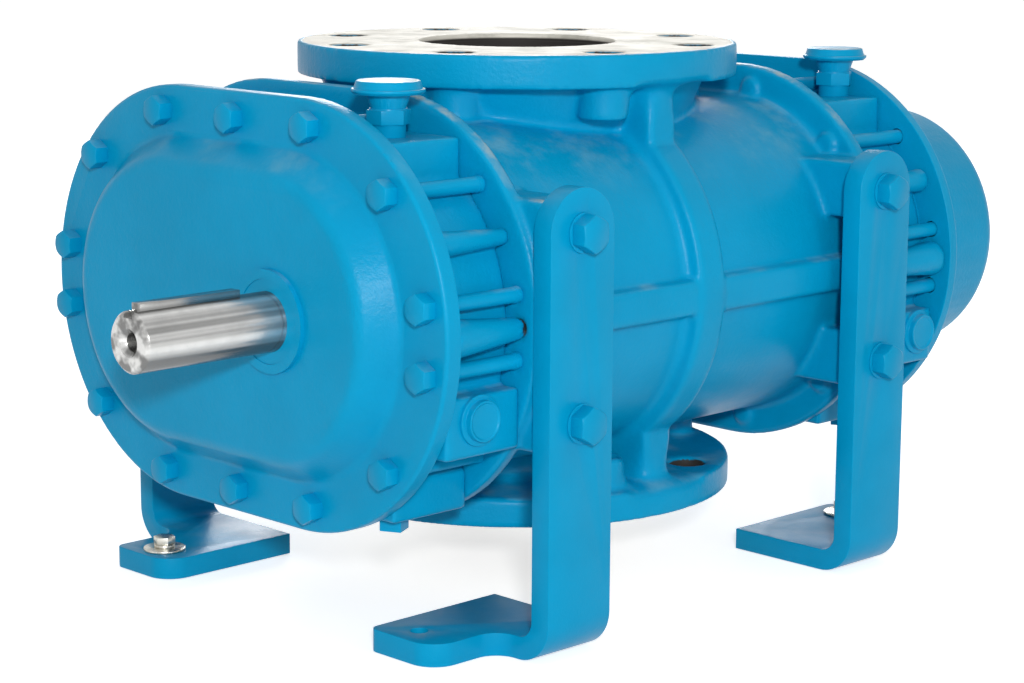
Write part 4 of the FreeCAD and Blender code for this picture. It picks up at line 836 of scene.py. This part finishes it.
def stadium_distance(across: np.ndarray, up: np.ndarray, half: float, radius: float) -> np.ndarray:
    """Return the distance outside a round-ended outline.

    Args:
        across: Places across the outline.
        up: Places up from its middle.
        half: From its middle to the centre of a round end.
        radius: Of the round ends.

    Returns:
        Distances, which are negative inside.
    """
    beyond = np.maximum(np.abs(across) - half, 0)
    return np.hypot(beyond, up) - radius


# Sub-assemblies
@dataclass
class Casing:
    """The rotor casing as one soft sand casting. Sizes are in millimetres."""

    palette: Palette
    voxel: float = 1.6
    budget: int = 190000
    barrel_r: float = 86.0
    web_half: float = 104.0
    rib_half: float = 10.0
    neck_x: float = 65.0
    neck_y: float = 92.0
    port_r: float = 55.0
    top_under: float = 102.0
    low_above: float = -99.5
    flange_skin: float = 4.0
    fillet: float = 15.0
    edge_rounds: int = 3
    hollow_rounds: int = 80
    bolt_circle: float = 90.3
    bolt_angles: tuple[float, ...] = (83.4, 44.9, 9.8, -9.8, -44.9, -83.4)
    middle_bolt: float = 90.0
    bump_r: float = 5.7
    bump_from: float = 120.6
    bump_to: float = 130.0
    bump_sides: int = 20
    collar: Span = (84.0, 94.0)
    collar_flare: float = 1.12
    collar_thick: float = 22.0
    collar_low: float = 78.2
    collar_top: float = 103.5
    collar_sides: int = 96

    def junctions(self, places: np.ndarray) -> np.ndarray:
        """Find the hollows between two forms of the casting.

        Args:
            places: The mesh's corners in millimetres, from the plane of the shafts.

        Returns:
            How much each corner belongs to a hollow, from 0 to 1.
        """
        x, y, z = places.T
        from_port = np.hypot(x, y)
        barrel = stadium_distance(x, z, HALF_CENTRES, self.barrel_r)
        scale = np.hypot(x / self.neck_x, y / self.neck_y)
        neck = (scale - 1) * from_port / np.maximum(scale, 0.01)
        web_side = np.abs(y) - self.rib_half
        web_end = np.abs(x) - self.web_half
        under = np.minimum(np.abs(z - self.top_under), np.abs(z - self.low_above))
        reach = self.fillet
        pairs = (
            near(barrel, reach) * near(neck, reach),
            near(neck, reach) * near(under, reach),
            near(web_side, reach) * near(under, reach) * (np.abs(x) < self.web_half + reach),
            near(web_end, reach) * near(under, reach) * (np.abs(y) < self.rib_half + reach),
            near(web_side, reach) * near(neck, reach),
        )
        weights = np.maximum.reduce(pairs)
        weights[from_port < self.port_r] = 0
        weights[(z > self.top_under + self.flange_skin) | (z < self.low_above - self.flange_skin)] = 0
        return weights

    def bumps(self) -> list[bpy.types.Object]:
        """Model the painted-over bumps where the long bolts end in the rims."""
        places = [(0.0, self.middle_bolt), (0.0, -self.middle_bolt)]
        for degrees in self.bolt_angles:
            across = HALF_CENTRES + self.bolt_circle * math.cos(math.radians(degrees))
            up = self.bolt_circle * math.sin(math.radians(degrees))
            places += [(across, up), (-across, up)]
        made = []
        middle = (self.bump_from + self.bump_to) / 2
        for x, z in places:
            for sign in (1, -1):
                made.append(turned_cylinder(self.bump_r, self.bump_to - self.bump_from,
                                            point(x, sign * middle, z), self.bump_sides, (90.0, 0.0, 0.0)))
                settle()
        return made

    def neck_wall(self) -> bpy.types.Object:
        """Model the wall that joins the bosses of the upper flange to the neck."""
        bpy.ops.mesh.primitive_cone_add(
            vertices=self.collar_sides, radius1=1.0, radius2=self.collar_flare,
            depth=(self.collar_top - self.collar_low) * MM, end_fill_type="NOTHING",
            location=point(0, 0, (self.collar_low + self.collar_top) / 2))
        wall = bpy.context.object
        wall.scale = (self.collar[0] * MM, self.collar[1] * MM, 1)
        settle()
        apply_modifier(wall, "SOLIDIFY", thickness=self.collar_thick * MM, offset=-1.0)
        return wall

    def build(self) -> bpy.types.Object:
        """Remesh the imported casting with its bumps, fill its hollows and round its edges."""
        piece = joined([merged_copy("rotor_casing", "casing_casting"), *self.bumps(), self.neck_wall()])
        melt(piece, self.voxel)
        weigh(piece, "hollows", self.junctions(coordinates(piece)))
        apply_modifier(piece, "SMOOTH", factor=0.5, iterations=self.edge_rounds)
        apply_modifier(piece, "SMOOTH", factor=0.6, iterations=self.hollow_rounds, vertex_group="hollows")
        thin_out(piece, self.budget)
        self.palette.dress(piece, Finish.CASING)
        only(piece)
        bpy.ops.object.shade_smooth()
        stands_for(piece, "rotor_casing", Body.HOUSING)
        return piece


@dataclass
class SoftCasting:
    """A smaller casting: a headplate with its pads and bosses. Sizes are in millimetres."""

    palette: Palette
    node: str
    voxel: float = 1.4
    edge_rounds: int = 3
    budget: int = 150000

    def build(self) -> bpy.types.Object:
        """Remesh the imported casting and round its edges."""
        piece = merged_copy(self.node, f"{self.node}_casting")
        melt(piece, self.voxel)
        apply_modifier(piece, "SMOOTH", factor=0.5, iterations=self.edge_rounds)
        thin_out(piece, self.budget)
        self.palette.dress(piece, Finish.CAST)
        only(piece)
        bpy.ops.object.shade_smooth()
        stands_for(piece, self.node, Body.HOUSING)
        return piece


@dataclass
class RoundedPiece:
    """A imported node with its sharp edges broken. Sizes are in millimetres and degrees."""

    palette: Palette
    node: str
    finish: Finish
    body: Body = Body.HOUSING
    edge: float = 0.35
    segments: int = 2
    flat: float = 1.0
    sharp: float = 40.0

    def build(self) -> bpy.types.Object:
        """Weld the node, clear its flat faces and bevel its sharp edges."""
        piece = merged_copy(self.node, f"{self.node}_finished")
        apply_modifier(piece, "DECIMATE", decimate_type="DISSOLVE", angle_limit=math.radians(self.flat))
        if self.edge > 0:
            break_edges(piece, self.edge, self.segments, self.sharp)
        self.palette.dress(piece, self.finish)
        smooth_by_angle(piece)
        stands_for(piece, self.node, self.body)
        return piece


@dataclass
class SightDisc:
    """A sight glass that was painted over: a round disc with a raised rim. Sizes are in millimetres."""

    palette: Palette
    end: str
    place_y: float
    pad_x: float = 137.0
    place_z: float = -38.9
    base_r: float = 12.0
    base_thick: float = 1.5
    radius: float = 9.6
    stand: float = 3.2
    rim: float = 1.0
    slope: float = 0.5
    sunk: float = 0.7
    sunk_in_pad: float = 1.0
    edge: float = 0.4
    segments: int = 3
    sharp: float = 30.0
    sides: int = 72

    def build(self) -> bpy.types.Object:
        """Model the disc from a cylinder: its face drawn in, raised, and pushed in inside the rim."""
        nothing_selected()
        thick = self.base_thick + self.sunk_in_pad
        middle = point(self.pad_x - self.sunk_in_pad + thick / 2, self.place_y, self.place_z)
        piece = turned_cylinder(self.base_r, thick, middle, self.sides, (0.0, 90.0, 0.0))
        piece.name = f"{self.end}_sight_disc"
        settle()
        bpy.ops.object.mode_set(mode="EDIT")
        bpy.ops.mesh.select_all(action="DESELECT")
        bpy.ops.object.mode_set(mode="OBJECT")
        front = max(piece.data.polygons, key=lambda face: face.center.x)
        front.select = True
        bpy.ops.object.mode_set(mode="EDIT")
        bpy.ops.mesh.select_mode(type="FACE")
        bpy.ops.mesh.inset(thickness=(self.base_r - self.radius) * MM)
        bpy.ops.mesh.extrude_region_move(TRANSFORM_OT_translate={"value": (self.stand * MM, 0, 0)})
        bpy.ops.mesh.inset(thickness=self.rim * MM)
        bpy.ops.mesh.inset(thickness=self.slope * MM, depth=-self.sunk * MM)
        bpy.ops.object.mode_set(mode="OBJECT")
        break_edges(piece, self.edge, self.segments, self.sharp)
        self.palette.dress(piece, Finish.SMALL)
        smooth_by_angle(piece)
        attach(piece, Body.HOUSING.value)
        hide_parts(f"{self.end}_sight_body", f"{self.end}_sight_pane")
        return piece


@dataclass
class HoldDownBolt:
    """A zinc-plated bolt through a foot hole, with flat and spring washers. Sizes are in millimetres."""

    palette: Palette
    name: str
    x: float
    y: float
    foot_top: float = -145.9
    washer_r: float = 11.0
    washer_thick: float = 1.5
    spring_r: float = 5.4
    spring_thick: float = 1.6
    head_flats: float = 10.0
    head_thick: float = 4.2
    shank_r: float = 3.0
    shank_len: float = 10.0
    turned: float = 12.0
    edge: float = 0.35
    segments: int = 2
    sharp: float = 30.0

    def disc(self, base: float, radius: float, thick: float, sides: int = 48) -> bpy.types.Object:
        """Add one upright cylinder standing on a height."""
        middle = point(self.x, self.y, base + thick / 2)
        return turned_cylinder(radius, thick, middle, sides, (0.0, 0.0, self.turned))

    def build(self) -> bpy.types.Object:
        """Stack washer, spring washer, head and shank, join them and break their edges."""
        nothing_selected()
        spring = self.foot_top + self.washer_thick
        head = spring + self.spring_thick
        corner_r = self.head_flats / math.sqrt(3)
        stack = [
            self.disc(self.foot_top, self.washer_r, self.washer_thick),
            self.disc(spring, self.spring_r, self.spring_thick),
            self.disc(head, corner_r, self.head_thick, 6),
            self.disc(self.foot_top - self.shank_len, self.shank_r, self.shank_len),
        ]
        piece = joined(stack)
        settle()
        piece.name = self.name
        break_edges(piece, self.edge, self.segments, self.sharp)
        self.palette.dress(piece, Finish.ZINC)
        smooth_by_angle(piece)
        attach(piece, Body.HOUSING.value)
        return piece


@dataclass(frozen=True)
class Lamp:
    """A round soft light, in metres and watts."""

    name: str
    place: Place
    size: float
    power: float
    target: Place = (0.0, 0.0, 0.16)

    def hang(self) -> None:
        """Put it in its place and aim it."""
        data = bpy.data.lights.new(self.name, "AREA")
        data.shape = "DISK"
        data.size = self.size
        data.energy = self.power
        lamp = bpy.data.objects.new(self.name, data)
        bpy.context.scene.collection.objects.link(lamp)
        lamp.location = self.place
        aim = Vector(self.target) - Vector(self.place)
        lamp.rotation_euler = aim.to_track_quat("-Z", "Y").to_euler()


LAMPS = (
    Lamp("ceiling", (0.2, -0.1, 2.2), size=1.4, power=3.0),
    Lamp("front_box", (1.4, -1.25, 0.68), size=0.14, power=21.0),
    Lamp("right_box", (2.0, -0.1, 0.5), size=0.8, power=3.0),
    Lamp("back_box", (-1.5, 1.5, 0.9), size=0.8, power=14.0),
)


@dataclass
class Studio:
    """Camera, floor, backdrop and lights. Angles are in degrees and the camera's offset in millimetres."""

    azimuth: float = 45.4556
    elevation: float = 10.6152
    roll: float = 0.3146
    focal_px: float = 2527.12
    offset: Place = (-2.0043, -40.9761, 1340.3121)
    width_px: int = 1024
    sensor_mm: float = 36.0
    clip: Span = (0.05, 20.0)
    fill: float = 0.42
    backdrop: float = 1.0
    floor_size: float = 12.0
    floor_drop: float = 0.0004
    floor_grey: float = 0.86
    floor_rough: float = 0.9
    floor_glow: float = 0.62

    def camera(self) -> None:
        """Place the camera as the photograph was taken."""
        turn, lift, tilt = (math.radians(a) for a in (self.azimuth, self.elevation, self.roll))
        right = Vector((math.cos(turn), math.sin(turn), 0))
        back = Vector((math.sin(turn) * math.cos(lift), -math.cos(turn) * math.cos(lift), math.sin(lift)))
        up = back.cross(right)
        right, up = right * math.cos(tilt) + up * math.sin(tilt), up * math.cos(tilt) - right * math.sin(tilt)
        place = right * self.offset[0] + up * self.offset[1] + back * self.offset[2]
        data = bpy.data.cameras.new("photograph")
        data.sensor_width = self.sensor_mm
        data.lens = self.focal_px / self.width_px * self.sensor_mm
        data.clip_start, data.clip_end = self.clip
        view = bpy.data.objects.new("photograph", data)
        bpy.context.scene.collection.objects.link(view)
        axes = Matrix((right, up, back)).transposed().to_4x4()
        view.matrix_world = Matrix.Translation(point(*place)) @ axes
        bpy.context.scene.camera = view

    def sees_white(self, tree: bpy.types.NodeTree) -> bpy.types.NodeSocket:
        """Return a socket that is 1 for rays that show the background."""
        path = add_node(tree, "LightPath")
        seen = math_node(tree, "MAXIMUM", path.outputs["Is Camera Ray"], path.outputs["Is Transmission Ray"])
        return math_node(tree, "MAXIMUM", seen, path.outputs["Is Glossy Ray"])

    def world(self) -> None:
        """Light the object evenly and show white behind it."""
        world = bpy.data.worlds.new("pale_room")
        bpy.context.scene.world = world
        world.use_nodes = True
        tree = world.node_tree
        lit = tree.nodes["Background"]
        shown = add_node(tree, "Background")
        for shader, strength in ((lit, self.fill), (shown, self.backdrop)):
            shader.inputs["Color"].default_value = (1, 1, 1, 1)
            shader.inputs["Strength"].default_value = strength
        mix = add_node(tree, "MixShader")
        tree.links.new(self.sees_white(tree), mix.inputs[0])
        tree.links.new(lit.outputs[0], mix.inputs[1])
        tree.links.new(shown.outputs[0], mix.inputs[2])
        tree.links.new(mix.outputs[0], tree.nodes["World Output"].inputs["Surface"])

    def floor(self) -> None:
        """Lay a pale floor under the feet."""
        nothing_selected()
        bpy.ops.mesh.primitive_plane_add(size=self.floor_size, location=(0, 0, -self.floor_drop))
        floor = bpy.context.object
        floor.name = "studio_floor"
        material = bpy.data.materials.new("pale_floor")
        material.use_nodes = True
        tree = material.node_tree
        shader = tree.nodes["Principled BSDF"]
        shader.inputs["Base Color"].default_value = (self.floor_grey,) * 3 + (1,)
        shader.inputs["Roughness"].default_value = self.floor_rough
        shader.inputs["Emission Color"].default_value = (1, 1, 1, 1)
        strength = math_node(tree, "MULTIPLY", self.sees_white(tree), self.floor_glow)
        tree.links.new(strength, shader.inputs["Emission Strength"])
        floor.data.materials.append(material)

    def build(self) -> None:
        """Set the whole stage."""
        self.camera()
        self.world()
        self.floor()
        for lamp in LAMPS:
            lamp.hang()
        bpy.context.scene.view_settings.view_transform = "Standard"


# Nodes that are modelled anew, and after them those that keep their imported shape
CASTINGS = ("drive_headplate", "gear_headplate")
COVERS = ("drive_end_cover", "gear_cover")
LEGS = ("leg_drive_right", "leg_drive_left", "leg_gear_right", "leg_gear_left")
FITTINGS = (
    "leg_bolts", "leg_washers", "drive_cover_bolts", "gear_cover_bolts", "drive_breather_body",
    "gear_breather_body", "drive_drain_plug", "gear_drain_plug", "drive_pipe_plugs", "gear_pipe_plugs",
)
CAPS = ("drive_breather_cap", "gear_breather_cap")
SIGHT_PLACES = (("drive", -158.0), ("gear", 170.2))
HOLD_DOWN_PLACES = (("hold_down_bolt_left", -99.0, -160.0), ("hold_down_bolt_right", 99.0, 160.0))
KEPT_NODES = {
    Finish.GROUND: (
        "bearing_outer_races", "drive_dowels", "gear_dowels", "drive_timing_gear", "drive_gear_key",
        "drive_gear_spacer", "drive_locknut", "drive_bearing_inner_races", "drive_bearing_rollers",
        "driven_timing_gear", "driven_gear_key", "driven_gear_spacer", "driven_locknut", "gear_end_slinger",
        "drive_end_slinger", "driven_bearing_inner_races", "driven_bearing_rollers",
    ),
    Finish.RUBBER: ("drive_end_lip_seals", "gear_end_lip_seals"),
    Finish.SMALL: ("drive_cover_gasket", "gear_cover_gasket", "shaft_seal"),
    Finish.IRON: ("drive_rotor_lobes", "driven_rotor_lobes"),
    Finish.SHAFT: ("driven_shaft",),
}


def build_all() -> None:
    """Build every piece in order, report each one and dress the nodes that keep their shape."""
    palette = Palette()
    Studio().build()
    makers: list[Casing | SoftCasting | RoundedPiece | SightDisc | HoldDownBolt] = [
        Casing(palette),
        *(SoftCasting(palette, node) for node in CASTINGS),
        *(RoundedPiece(palette, node, Finish.CAST, edge=0.0) for node in COVERS),
        *(RoundedPiece(palette, node, Finish.BAR, edge=1.1, segments=3) for node in LEGS),
        *(RoundedPiece(palette, node, Finish.SMALL) for node in FITTINGS),
        *(RoundedPiece(palette, node, Finish.CAP) for node in CAPS),
        *(SightDisc(palette, *place) for place in SIGHT_PLACES),
        *(HoldDownBolt(palette, *place) for place in HOLD_DOWN_PLACES),
        RoundedPiece(palette, "drive_shaft", Finish.SHAFT, Body.DRIVE, edge=0.25),
        RoundedPiece(palette, "shaft_key", Finish.SHAFT, Body.DRIVE),
    ]
    for maker in makers:
        piece = maker.build()
        log.info("%s: %d triangles", piece.name, triangles(piece))
    for finish, nodes in KEPT_NODES.items():
        for node in nodes:
            palette.dress(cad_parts[node], finish)


def main() -> None:
    """Build the dressed blower."""
    logging.basicConfig(level=logging.INFO, format="%(name)s: %(message)s")
    build_all()


if __name__ == "__main__":
    main()
